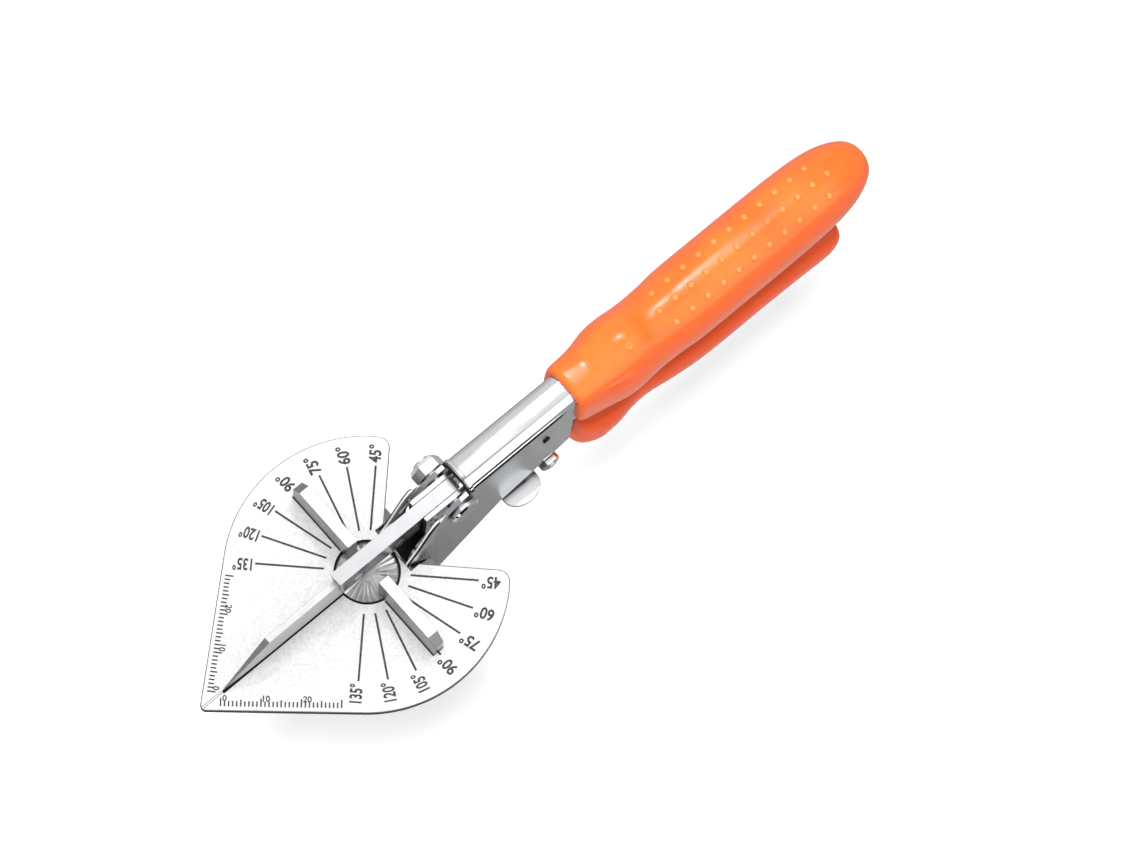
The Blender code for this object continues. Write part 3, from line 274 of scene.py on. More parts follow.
@dataclass(frozen=True)
class VinylFinish(Finish):
    """Dip-moulded plasticised PVC: a soft even sheen, a faint orange-peel, slight clouding and
    sides painted a deeper shade.
    """

    deep_shade: str
    roughness: float
    painted_side_shade: str
    sheen: float = 0.5
    peel_mm: float = 0.9
    cloud_mm: float = 14.0
    scatter_mm: float = 1.6

    def surface(self, tree: Tree, place: Socket) -> dict[str, Any]:
        """Add the clouding, the sides painted a deeper shade, the peel and the scattering.

        Args:
            tree: the material's tree.
            place: the place on the object.

        Returns:
            The shader's inputs.
        """
        cloud = add_node(tree, "ShaderNodeTexNoise", {
            "Vector": place, "Scale": 1.0 / (self.cloud_mm * MM), "Detail": 3.0}).outputs["Fac"]
        ramp = add_node(tree, "ShaderNodeValToRGB", {"Fac": cloud})
        for stop, position, shade in zip(ramp.color_ramp.elements, VINYL_STOPS,
                                         (self.deep_shade, self.shade)):
            stop.position = position
            stop.color = linear(shade)
        # Painted shade: the sides, away from the level top, are mixed towards the painted side
        # shade
        crown = level_share(tree, "Normal", PAINTED_SIDE_SLOPE)
        colour = add_node(tree, "ShaderNodeMix", {
            0: crown, 6: linear(self.painted_side_shade), 7: ramp.outputs["Color"]},
            data_type="RGBA").outputs[2]
        peel = add_node(tree, "ShaderNodeTexNoise", {
            "Vector": place, "Scale": 1.0 / (self.peel_mm * MM), "Detail": 2.0}).outputs["Fac"]
        rough = add_node(tree, "ShaderNodeMapRange", {
            "Value": peel, "From Min": NOISE_SPAN[0], "From Max": NOISE_SPAN[1],
            "To Min": self.roughness + PEEL_SHIFT[0],
            "To Max": self.roughness + PEEL_SHIFT[1]}).outputs["Result"]
        bump = add_node(tree, "ShaderNodeBump", {
            "Height": peel, "Strength": 0.05, "Distance": 0.01 * MM})
        return {"Base Color": colour, "Roughness": rough, "IOR": 1.42,
                "Specular IOR Level": self.sheen, "Subsurface Weight": 0.12,
                "Subsurface Scale": self.scatter_mm * MM,
                "Subsurface Radius": (1.0, 0.35, 0.12), "Normal": bump.outputs["Normal"]}


@dataclass(frozen=True)
class InkFinish(Finish):
    """A dull dark layer that breaks up in flecks, with hardly any sheen."""

    worn_shade: str
    fleck_mm: float

    def surface(self, tree: Tree, place: Socket) -> dict[str, Any]:
        """Add the flecks.

        Args:
            tree: the material's tree.
            place: the place on the object.

        Returns:
            The shader's inputs.
        """
        fleck = add_node(tree, "ShaderNodeTexNoise", {
            "Vector": place, "Scale": 1.0 / (self.fleck_mm * MM), "Detail": 2.0}).outputs["Fac"]
        ramp = add_node(tree, "ShaderNodeValToRGB", {"Fac": fleck})
        for stop, position, shade in zip(ramp.color_ramp.elements, INK_STOPS,
                                         (self.shade, self.worn_shade)):
            stop.position = position
            stop.color = linear(shade)
        return {"Base Color": ramp.outputs["Color"], "Roughness": 0.7, "Specular IOR Level": 0.2}


# Matte-nickel plated mild steel, blasted before plating: almost white and finely speckled,
# with its edge faces painted dark as shade
PLATE_SATIN = SteelFinish("plate_matte_nickel_steel", "#E2E2E1", "#CFCFCE", 0.5, 0.05, 0.35,
                          Working.BLASTED, 0.004, 0.8, 0.5, "#3E3E3F")
# Bright chrome on pressed steel: sharp light and dark bands on the crown, satin side walls
HANDLE_CHROME = SteelFinish("handle_bright_chrome_steel", "#C8CACC", "#C3C5C7", 0.09, 0.02, 0.5,
                            Working.DRAWN, 0.0006, 14.0, 1.0, "", 0.34)
# Zinc-plated bar stock: soft bright top, with its sides and end painted darker as shade
FENCE_ZINC = SteelFinish("fence_bright_zinc_bar", "#DADBDC", "#D4D5D7", 0.3, 0.02, 0.5,
                         Working.TURNED, 0.0004, 8.0, 0.85, "#8A8B8D")
# Hardened disc with polished ribs: catches light and dark on each rib
HUB_STEEL = SteelFinish("hub_polished_hardened_steel", "#DCDCDC", "#C4C4C4", 0.2, 0.04, 0.35,
                        Working.BLASTED, 0.001, 4.0, 0.75)
# Front edge of the handle's walls painted pale, almost white, as a highlight
PAINTED_EDGE_HIGHLIGHT = SteelFinish("handle_edge_painted_highlight", "#FCFCFC", "#F0F0F0", 0.42, 0.05, 0.3,
                          Working.BLASTED, 0.0006, 3.0, 0.1)
# Ground carbon-steel blade with fine lines: bright spine, with its sides and bevels painted darker
# as shade
BLADE_GROUND = SteelFinish("blade_ground_carbon_steel", "#D8D9DA", "#CCCDCE", 0.28, 0.02, 0.3,
                           Working.DRAWN, 0.0004, 7.0, 1.0, "#A2A4A6")
# Zinc-plated sheet of the blade's holder: bright top, skirts in shade
HOLDER_ZINC = SteelFinish("holder_bright_zinc_sheet", "#BFC0C2", "#B6B7B9", 0.18, 0.03, 0.5,
                          Working.DRAWN, 0.001, 9.0, 1.0, "#77797B")
# Zinc-plated pressed sheet of the lever and the latch: bright, with a faint drawn grain
LEVER_ZINC = SteelFinish("lever_bright_zinc_sheet", "#C6C7C9", "#BEBFC1", 0.18, 0.03, 0.5,
                         Working.DRAWN, 0.001, 9.0)
# Turned and plated fasteners: bright with faint turning rings
FASTENER_BRIGHT = SteelFinish("fastener_bright_zinc", "#E2E3E4", "#D6D7D9", 0.16, 0.03, 0.3,
                              Working.TURNED, 0.001, 3.0)
# Black-oxide pins and block: nearly black, faint oily sheen
DARK_OXIDE = SteelFinish("pin_black_oxide_steel", "#2A2A2B", "#19191A", 0.34, 0.06, 0.3,
                         Working.BLASTED, 0.002, 3.0)
# Oil-tempered spring wire: grey-brown, dull
SPRING_WIRE = SteelFinish("spring_oil_tempered_wire", "#6E6A66", "#4E4B48", 0.38, 0.06, 0.25,
                          Working.BLASTED, 0.002, 3.0)
# Laser marking on the plate: dull dark grey, broken along its strokes
PLATE_MARKING = InkFinish("plate_laser_marking", "#262627", "#6E6E6E", 0.22)
# Black painted shadow laid in gaps and along edges: no sheen
PAINTED_SHADOW_BLACK = InkFinish("painted_shadow_black", "#0C0C0D", "#1B1B1C", 0.6)
# The foot of the handle's wall in the plate's shade: dull mid grey
NOTCH_SHADED = InkFinish("handle_foot_shaded_steel", "#77787A", "#6C6D6F", 0.8)
# Black strips under the bars, painted as the shadow line where each bar meets the plate
PAINTED_BAR_SHADOW = InkFinish("bar_contact_shadow_black", "#101011", "#232324", 0.8)
# Moulded bumps and the thumb pip painted a slightly paler orange than the grip's, as highlights
BUMP_HIGHLIGHT_VINYL = VinylFinish("grip_bump_painted_highlight_vinyl", "#FFA254", "#FF9844", 0.16, "#F8742C")
# Plasticised PVC dips: the upper grip a glossy orange with its sides painted a redder orange as
# shade, and the lower one a redder orange all over, its sides also painted a side shade, with less
# sheen
UPPER_VINYL = VinylFinish("upper_grip_dipped_vinyl", "#F88028", "#F47022", 0.19, "#F4662A")
LOWER_VINYL = VinylFinish("lower_grip_dipped_vinyl", "#F25014", "#E84810", 0.24, "#F05418",
                          0.3)


# Meshes


def link(name: str, data: bpy.types.ID) -> bpy.types.Object:
    """Link an object at the origin.

    Args:
        name: the name of the object and of its data.
        data: its mesh, curve, light or camera.

    Returns:
        The linked object.
    """
    data.name = name
    shape = bpy.data.objects.new(name, data)
    bpy.context.scene.collection.objects.link(shape)
    return shape


def tidy_mesh(bm: bmesh.types.BMesh, name: str) -> Mesh:
    """Merge doubles, turn the faces out and shade a mesh.

    Args:
        bm: the mesh being made, which is freed.
        name: the mesh's name.

    Returns:
        The finished mesh.
    """
    bmesh.ops.remove_doubles(bm, verts=bm.verts, dist=MERGE_DISTANCE)
    bmesh.ops.recalc_face_normals(bm, faces=bm.faces)
    mesh = bpy.data.meshes.new(name)
    bm.to_mesh(mesh)
    bm.free()
    mesh.shade_smooth()
    mesh.set_sharp_from_angle(angle=SHARP_ANGLE)
    return mesh


def joined(name: str, meshes: Iterable[Mesh]) -> Mesh:
    """Join meshes into one and remove them.

    Args:
        name: the name of the result.
        meshes: the meshes.

    Returns:
        The joined mesh.
    """
    bm = bmesh.new()
    for mesh in meshes:
        bm.from_mesh(mesh)
        bpy.data.meshes.remove(mesh)
    return tidy_mesh(bm, name)


def settled(shape: bpy.types.Object) -> Mesh:
    """Take the mesh that an object's modifiers make, and remove the object.

    Args:
        shape: an object with live modifiers, or a text.

    Returns:
        A plain mesh.
    """
    bpy.context.view_layer.update()
    graph = bpy.context.evaluated_depsgraph_get()
    mesh = bpy.data.meshes.new_from_object(shape.evaluated_get(graph))
    bpy.data.objects.remove(shape, do_unlink=True)
    return mesh


def loft_mesh(name: str, rings: Sequence[Sequence[Point]], round_again: bool = False) -> Mesh:
    """Skin rings of equally many points.

    Args:
        name: the mesh's name.
        rings: the rings in order.
        round_again: whether the last ring meets the first, instead of both being capped.

    Returns:
        The skin's mesh.
    """
    bm = bmesh.new()
    rows = [[bm.verts.new(point) for point in ring] for ring in rings]
    following = rows[1:] + (rows[:1] if round_again else [])
    for near, far in zip(rows, following):
        for index, (first, second) in enumerate(zip(near, far)):
            bm.faces.new((near[index - 1], first, second, far[index - 1]))
    if not round_again:
        bm.faces.new(rows[0])
        bm.faces.new(rows[-1])
    return tidy_mesh(bm, name)


def circles(profile: Iterable[Pair], place: Point, steps: int) -> list[list[Point]]:
    """Level circles round one upright line.

    Args:
        profile: the radius of each circle and its height above the place.
        place: a point on the line.
        steps: how many points a circle has.

    Returns:
        The circles' points.
    """
    x, y, z = place
    turns = [math.tau * step / steps for step in range(steps)]
    return [[(x + radius * math.cos(turn), y + radius * math.sin(turn), z + rise)
             for turn in turns] for radius, rise in profile]


@dataclass
class Pattern:
    """A Geometry Nodes tree with named inputs, run once and kept as a plain mesh."""

    name: str
    sizes: dict[str, Any]
    material: Material

    def wire(self, tree: Tree, given: dict[str, Socket]) -> Socket:
        """Add the pattern's own nodes.

        Args:
            tree: the tree being made.
            given: the group's inputs by name, and the geometry that comes in as "Surface".

        Returns:
            The socket that carries the instances.
        """
        raise NotImplementedError

    def mesh(self, surface: Optional[Mesh] = None) -> Mesh:
        """Run the pattern and keep its result.

        Args:
            surface: the mesh that the pattern lies on, if it needs one.

        Returns:
            The realised, plain mesh.
        """
        kinds = {int: "NodeSocketInt", float: "NodeSocketFloat", tuple: "NodeSocketVector"}
        tree = bpy.data.node_groups.new(self.name, "GeometryNodeTree")
        for name, way in (("Surface", "INPUT"), ("Result", "OUTPUT")):
            tree.interface.new_socket(name, in_out=way, socket_type="NodeSocketGeometry")
        sockets = {name: tree.interface.new_socket(name, in_out="INPUT",
                                                   socket_type=kinds[type(value)])
                   for name, value in self.sizes.items()}
        entry = add_node(tree, "NodeGroupInput")
        given = {name: entry.outputs[name] for name in ("Surface", *self.sizes)}
        real = add_node(tree, "GeometryNodeRealizeInstances", {
            "Geometry": self.wire(tree, given)})
        painted = add_node(tree, "GeometryNodeSetMaterial", {
            "Geometry": real.outputs["Geometry"], "Material": self.material})
        add_node(tree, "NodeGroupOutput", {"Result": painted.outputs["Geometry"]})
        blank = surface.copy() if surface else bpy.data.meshes.new(self.name)
        carrier = link(f"{self.name}_carrier", blank)
        modifier = carrier.modifiers.new(self.name, "NODES")
        modifier.node_group = tree
        for name, value in self.sizes.items():
            modifier[sockets[name].identifier] = value
        return settled(carrier)


def laid_bars(tree: Tree, count: Socket, place: Socket, turn: Socket, size: Socket) -> Socket:
    """Lay level bars.

    Args:
        tree: the tree being made.
        count: how many bars there are.
        place: the middle of each bar.
        turn: how far each is turned about Z.
        size: the size of each.

    Returns:
        The socket that carries the instances.
    """
    points = add_node(tree, "GeometryNodePoints", {"Count": count, "Position": place})
    cube = add_node(tree, "GeometryNodeMeshCube", {"Size": (1.0, 1.0, 1.0)})
    spin = add_node(tree, "ShaderNodeCombineXYZ", {"Z": turn}).outputs[0]
    return add_node(tree, "GeometryNodeInstanceOnPoints", {
        "Points": points.outputs[0], "Instance": cube.outputs["Mesh"], "Rotation": spin,
        "Scale": size}).outputs["Instances"]


class RadialLines(Pattern):
    """Straight lines that point at the fence's axis, one every few degrees."""

    def wire(self, tree: Tree, given: dict[str, Socket]) -> Socket:
        """Lay a thin bar at each angle.

        Args:
            tree: the tree being made.
            given: the group's inputs by name.

        Returns:
            The socket that carries the instances.
        """
        index = add_node(tree, "GeometryNodeInputIndex").outputs[0]
        turn = add_node(tree, "ShaderNodeMath", {
            0: index, 1: given["Step"], 2: given["First Angle"]},
            operation="MULTIPLY_ADD").outputs[0]
        reach = add_node(tree, "ShaderNodeMath", {
            0: given["Length"], 1: 0.5, 2: given["Inner Radius"]},
            operation="MULTIPLY_ADD").outputs[0]
        arm = add_node(tree, "ShaderNodeCombineXYZ", {"X": reach, "Z": given["Height"]}).outputs[0]
        place = add_node(tree, "ShaderNodeVectorRotate", {"Vector": arm, "Angle": turn},
                         rotation_type="Z_AXIS").outputs[0]
        size = add_node(tree, "ShaderNodeCombineXYZ", {
            "X": given["Length"], "Y": given["Width"], "Z": given["Depth"]}).outputs[0]
        return laid_bars(tree, given["Count"], place, turn, size)


class RulerTicks(Pattern):
    """Millimetre ticks along one edge, longer at every fifth and tenth."""

    def wire(self, tree: Tree, given: dict[str, Socket]) -> Socket:
        """Lay the ticks inwards from an edge.

        Args:
            tree: the tree being made.
            given: the group's inputs by name.

        Returns:
            The socket that carries the instances.
        """
        index = add_node(tree, "GeometryNodeInputIndex").outputs[0]
        length = given["Short"]
        for every, longer in ((5.0, "Middle"), (10.0, "Long")):
            rest = add_node(tree, "ShaderNodeMath", {0: index, 1: every},
                            operation="MODULO").outputs[0]
            hit = add_node(tree, "ShaderNodeMath", {0: rest, 1: 0.5},
                           operation="LESS_THAN").outputs[0]
            length = add_node(tree, "ShaderNodeMix", {0: hit, 2: length, 3: given[longer]},
                              data_type="FLOAT").outputs[0]
        along = add_node(tree, "ShaderNodeMath", {0: index, 1: given["Pitch"]},
                         operation="MULTIPLY").outputs[0]
        half = add_node(tree, "ShaderNodeMath", {0: length, 1: 0.5},
                        operation="MULTIPLY").outputs[0]
        flat = add_node(tree, "ShaderNodeCombineXYZ", {"X": along, "Y": half}).outputs[0]
        sided = add_node(tree, "ShaderNodeVectorMath", {0: flat, 1: given["Side"]},
                         operation="MULTIPLY").outputs[0]
        turned = add_node(tree, "ShaderNodeVectorRotate", {
            "Vector": sided, "Angle": given["Turn"]}, rotation_type="Z_AXIS").outputs[0]
        place = add_node(tree, "ShaderNodeVectorMath", {0: turned, 1: given["Start"]},
                         operation="ADD").outputs[0]
        size = add_node(tree, "ShaderNodeCombineXYZ", {
            "X": given["Width"], "Y": length, "Z": given["Depth"]}).outputs[0]
        return laid_bars(tree, given["Count"], place, given["Turn"], size)


class GripBumps(Pattern):
    """Staggered rows of low domes, dropped onto the top of a sleeve."""

    def wire(self, tree: Tree, given: dict[str, Socket]) -> Socket:
        """Cast each dome's place down to the sleeve and lean the dome with it.

        Args:
            tree: the tree being made.
            given: the group's inputs by name, and the sleeve as "Surface".

        Returns:
            The socket that carries the instances.
        """
        index = add_node(tree, "GeometryNodeInputIndex").outputs[0]
        ratio = add_node(tree, "ShaderNodeMath", {0: index, 1: given["Per Row"]},
                         operation="DIVIDE").outputs[0]
        row = add_node(tree, "ShaderNodeMath", {0: ratio}, operation="FLOOR").outputs[0]
        column = add_node(tree, "ShaderNodeMath", {0: index, 1: given["Per Row"]},
                          operation="MODULO").outputs[0]
        odd = add_node(tree, "ShaderNodeMath", {0: row, 1: 2.0}, operation="MODULO").outputs[0]
        outer = add_node(tree, "ShaderNodeMath", {0: 1.0, 1: odd}, operation="SUBTRACT").outputs[0]
        slot = add_node(tree, "ShaderNodeMath", {0: outer, 1: given["Stagger"], 2: column},
                        operation="MULTIPLY_ADD").outputs[0]
        back = add_node(tree, "ShaderNodeMath", {0: slot, 1: given["Pitch"]},
                        operation="MULTIPLY").outputs[0]
        x = add_node(tree, "ShaderNodeMath", {0: given["First X"], 1: back},
                     operation="SUBTRACT").outputs[0]
        centred = add_node(tree, "ShaderNodeMath", {0: row, 1: 1.0},
                           operation="SUBTRACT").outputs[0]
        y = add_node(tree, "ShaderNodeMath", {
            0: centred, 1: given["Row Spacing"], 2: given["Row Offset"]},
            operation="MULTIPLY_ADD").outputs[0]
        start = add_node(tree, "ShaderNodeCombineXYZ", {
            "X": x, "Y": y, "Z": given["Above"]}).outputs[0]
        hit = add_node(tree, "GeometryNodeRaycast", {
            "Target Geometry": given["Surface"], "Source Position": start,
            "Ray Direction": (0.0, 0.0, -1.0), "Ray Length": 1.0})
        total = add_node(tree, "ShaderNodeMath", {0: given["Per Row"], 1: given["Rows"]},
                         operation="MULTIPLY").outputs[0]
        points = add_node(tree, "GeometryNodePoints", {
            "Count": total, "Position": hit.outputs["Hit Position"]}).outputs[0]
        lean = add_node(tree, "FunctionNodeAlignRotationToVector", {
            "Vector": hit.outputs["Hit Normal"]}, axis="Z").outputs[0]
        # A staggered row has less than a whole pitch left for its last dome, which stays out
        room = add_node(tree, "ShaderNodeMath", {0: given["Per Row"], 1: slot},
                        operation="SUBTRACT").outputs[0]
        fits = add_node(tree, "ShaderNodeMath", {0: room, 1: 0.99},
                        operation="GREATER_THAN").outputs[0]
        dome = add_node(tree, "GeometryNodeMeshUVSphere", {
            "Segments": 16, "Rings": 10, "Radius": given["Radius"]}).outputs["Mesh"]
        squat = add_node(tree, "ShaderNodeCombineXYZ", {
            "X": 1.0, "Y": 1.0, "Z": given["Squat"]}).outputs[0]
        return add_node(tree, "GeometryNodeInstanceOnPoints", {
            "Points": points, "Selection": fits, "Instance": dome, "Rotation": lean,
            "Scale": squat}).outputs["Instances"]


# Sub-assemblies


@dataclass
class SubAssembly:
    """What the sub-assemblies share: a body to ride on and ways to add a piece."""

    body: Body = Body.FRAME

    def add(self, name: str, mesh: Mesh, material: Material, slot: Slot,
            stands_for: Iterable[str] = ()) -> bpy.types.Object:
        """Add a finished piece to the scene.

        Args:
            name: the piece's name.
            mesh: its mesh, in the part's frame.
            material: its finish.
            slot: not used.
            stands_for: the CAD nodes that it replaces.

        Returns:
            The piece.
        """
        mesh.materials.clear()
        mesh.materials.append(material)
        piece = link(name, mesh)
        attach(piece, self.body.value)
        nodes = list(stands_for)
        if nodes:
            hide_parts(*nodes)
        LOG.info("%s: %d faces", name, len(mesh.polygons))
        return piece

    def dress(self, node: str, material: Material, slot: Slot, edge_mm: float,
              clamped: bool = True) -> None:
        """Copy a CAD node, break its edges and give it a finish.

        Args:
            node: the CAD node's name.
            material: its finish.
            slot: the record's slot.
            edge_mm: width of the broken edge.
            clamped: whether short edges nearby may narrow it.
        """
        bm = bmesh.new()
        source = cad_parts[node]
        bm.from_mesh(source.data)
        bm.transform(source.matrix_world)
        bmesh.ops.remove_doubles(bm, verts=bm.verts, dist=MERGE_DISTANCE)
        bmesh.ops.dissolve_limit(bm, angle_limit=FLAT_ANGLE, verts=bm.verts, edges=bm.edges)
        carrier = link(f"{node}_carrier", tidy_mesh(bm, node))
        bevel = carrier.modifiers.new("broken_edge", "BEVEL")
        bevel.width = edge_mm * MM
        bevel.segments = 2
        bevel.limit_method = "ANGLE"
        bevel.angle_limit = SHARP_ANGLE
        bevel.use_clamp_overlap = clamped
        bevel.loop_slide = clamped
        weighted = carrier.modifiers.new("flat_faces_stay_flat", "WEIGHTED_NORMAL")
        weighted.keep_sharp = True
        self.add(f"{node}_dressed", settled(carrier), material, slot, [node])


@dataclass
class BasePlate(SubAssembly):
    """The engraved plate: angle lines, angle numbers, two rulers and the tip's groove."""

    top: float = 2.0 * MM
    depth: float = 0.06 * MM
    proud: float = 0.012 * MM
    edge_mm: float = 0.3
    line_inner: float = 10.98 * MM
    line_length: float = 17.4 * MM
    line_width: float = 0.56 * MM
    numeral_inner: float = 29.1 * MM
    numeral_length: float = 4.9 * MM
    numeral_height: float = 3.4 * MM
    numeral_lift: float = 0.45 * MM
    apex_x: float = 54.8 * MM
    edge_angle: float = math.radians(41.77)
    ruler_start: float = 5.23 * MM
    ruler_inset: float = 1.2 * MM
    tick_count: int = 31
    tick_pitch: float = 1.0 * MM
    tick_width: float = 0.4 * MM
    tick_lengths: tuple[float, float, float] = (1.4 * MM, 1.75 * MM, 2.15 * MM)
    labels: tuple[int, ...] = (0, 10, 20)
    label_height: float = 1.65 * MM
    label_along: float = 0.4 * MM
    label_inset: float = 2.1 * MM
    boldness: float = 0.03
    angles: tuple[int, ...] = (45, 60, 75, 90, 105, 120, 135)
    ring_radii: Pair = (7.95 * MM, 8.55 * MM)
    ring_steps: int = 96
    blade_shadow_x: Pair = (8.4 * MM, 47.4 * MM)
    blade_shadow_y: Pair = (-0.2 * MM, 0.72 * MM)
    tip_x: Pair = (47.5 * MM, 53.6 * MM)
    tip_lines: Pair = (-0.34 * MM, 0.2 * MM)
    tip_width: float = 0.14 * MM

    def levels(self) -> Pair:
        """Lowest and highest level of the engravings."""
        return self.top + self.proud - self.depth, self.top + self.proud

    def middle_z(self) -> float:
        """Height of the middle of the engravings."""
        return self.top + self.proud - self.depth / 2

    def numeral(self, text: str, height: float, length: Optional[float], place: Point,
                turn: float, start_aligned: bool) -> Mesh:
        """One number as a thin solid, flush in the plate's top.

        Args:
            text: the number to set.
            height: height of its digits.
            length: length to fit it to, or None to leave its own width.
            place: where its start, or its end, lies on the middle line.
            turn: direction that it reads in, about +Z.
            start_aligned: whether place is its start.

        Returns:
            The number's mesh.
        """
        curve = bpy.data.curves.new("numeral", "FONT")
        curve.body = text
        curve.size = 1.0
        curve.extrude = 0.5
        curve.resolution_u = 4
        curve.offset = self.boldness
        mesh = settled(link("numeral", curve))
        (left, right), (low, high) = (
            (min(values), max(values))
            for values in ([v.co[axis] for v in mesh.vertices] for axis in range(2)))
        tall = height / (high - low)
        wide = length / (right - left) if length else tall
        shift = Vector((-(left if start_aligned else right) * wide, -low * tall - height / 2, 0.0))
        local = Matrix.Translation(shift) @ Matrix.Diagonal((wide, tall, self.depth, 1.0))
        mesh.transform(Matrix.Translation(place) @ Matrix.Rotation(turn, 4, "Z") @ local)
        return mesh

    def numbers(self) -> list[Mesh]:
        """The angle numbers on both sides.

        Returns:
            One mesh for each number.
        """
        made = []
        for angle in self.angles:
            for side in (1, -1):
                polar = side * math.radians(180 - angle)
                outward = Vector((math.cos(polar), math.sin(polar), 0.0))
                turn = polar if side < 0 else polar + math.pi
                reach = self.numeral_inner + (self.numeral_length if side > 0 else 0.0)
                up = Matrix.Rotation(turn, 3, "Z") @ Vector((0.0, self.numeral_lift, 0.0))
                place = outward * reach + up + Vector((0.0, 0.0, self.middle_z()))
                made.append(self.numeral(f"{angle}\N{DEGREE SIGN}", self.numeral_height,
                                         self.numeral_length, place, turn, True))
        return made

    def angle_lines(self, side: int, material: Material) -> Mesh:
        """The angle lines on one side.

        Args:
            side: 1 for the left, -1 for the right.
            material: the marking's finish.

        Returns:
            Their mesh.
        """
        return RadialLines("angle_lines", {
            "Count": len(self.angles), "First Angle": side * math.radians(self.angles[0]),
            "Step": side * math.radians(self.angles[1] - self.angles[0]),
            "Inner Radius": self.line_inner, "Length": self.line_length,
            "Width": self.line_width, "Depth": self.depth, "Height": self.middle_z()},
            material).mesh()

    def ruler(self, side: int, material: Material) -> list[Mesh]:
        """The ticks and numbers of one ruler.

        Args:
            side: 1 for the left edge, -1 for the right.
            material: the marking's finish.

        Returns:
            Their meshes.
        """
        along = Vector((-math.cos(self.edge_angle), side * math.sin(self.edge_angle), 0.0))
        inward = Vector((-math.sin(self.edge_angle), -side * math.cos(self.edge_angle), 0.0))
        start = Vector((self.apex_x, 0.0, self.middle_z()))
        start += along * self.ruler_start + inward * self.ruler_inset
        short, middle, long = self.tick_lengths
        made = [RulerTicks("ruler_ticks", {
            "Count": self.tick_count, "Pitch": self.tick_pitch, "Short": short,
            "Middle": middle, "Long": long, "Width": self.tick_width, "Depth": self.depth,
            "Turn": math.atan2(along.y, along.x), "Side": (1.0, float(side), 1.0),
            "Start": tuple(start)}, material).mesh()]
        reading = along * side
        for value in self.labels:
            place = (start + along * (value * self.tick_pitch + self.label_along)
                     + inward * self.label_inset)
            made.append(self.numeral(str(value), self.label_height, None, place,
                                     math.atan2(reading.y, reading.x), side > 0))
        return made

    def strip(self, x: Pair, y: Pair) -> Mesh:
        """A thin strip let into the plate's top.

        Args:
            x: its least and greatest X.
            y: its least and greatest Y.

        Returns:
            The strip's mesh.
        """
        under, over = self.levels()
        return loft_mesh("strip", [
            [(end, y[0], under), (end, y[1], under), (end, y[1], over), (end, y[0], over)]
            for end in x])

    def shadow_marks(self) -> Mesh:
        """A black ring painted round the hub and a black strip painted under the blade's edge,
        both as shadow.

        Returns:
            One mesh with both.
        """
        (under, over), (inner, outer) = self.levels(), self.ring_radii
        section = ((inner, under), (outer, under), (outer, over), (inner, over))
        ring = loft_mesh("ring", circles(section, (0.0, 0.0, 0.0), self.ring_steps), True)
        return joined("plate_painted_shadows", (ring, self.strip(self.blade_shadow_x, self.blade_shadow_y)))

    def build(self) -> None:
        """Dress the plate and lay its engravings."""
        self.dress("base_plate", PLATE_SATIN.build(), Slot.PLATE, self.edge_mm, False)
        ink = PLATE_MARKING.build()
        marks = [self.strip(self.tip_x, (y, y + self.tip_width)) for y in self.tip_lines]
        for side in (1, -1):
            marks += [self.angle_lines(side, ink), *self.ruler(side, ink)]
        self.add("plate_marking", joined("plate_marking", marks + self.numbers()), ink,
                 Slot.PLATE)
        # Painted shadow: the black ring in the hub's gap and the line under the blade
        self.add("plate_painted_shadows", self.shadow_marks(), PAINTED_SHADOW_BLACK.build(), Slot.PLATE)


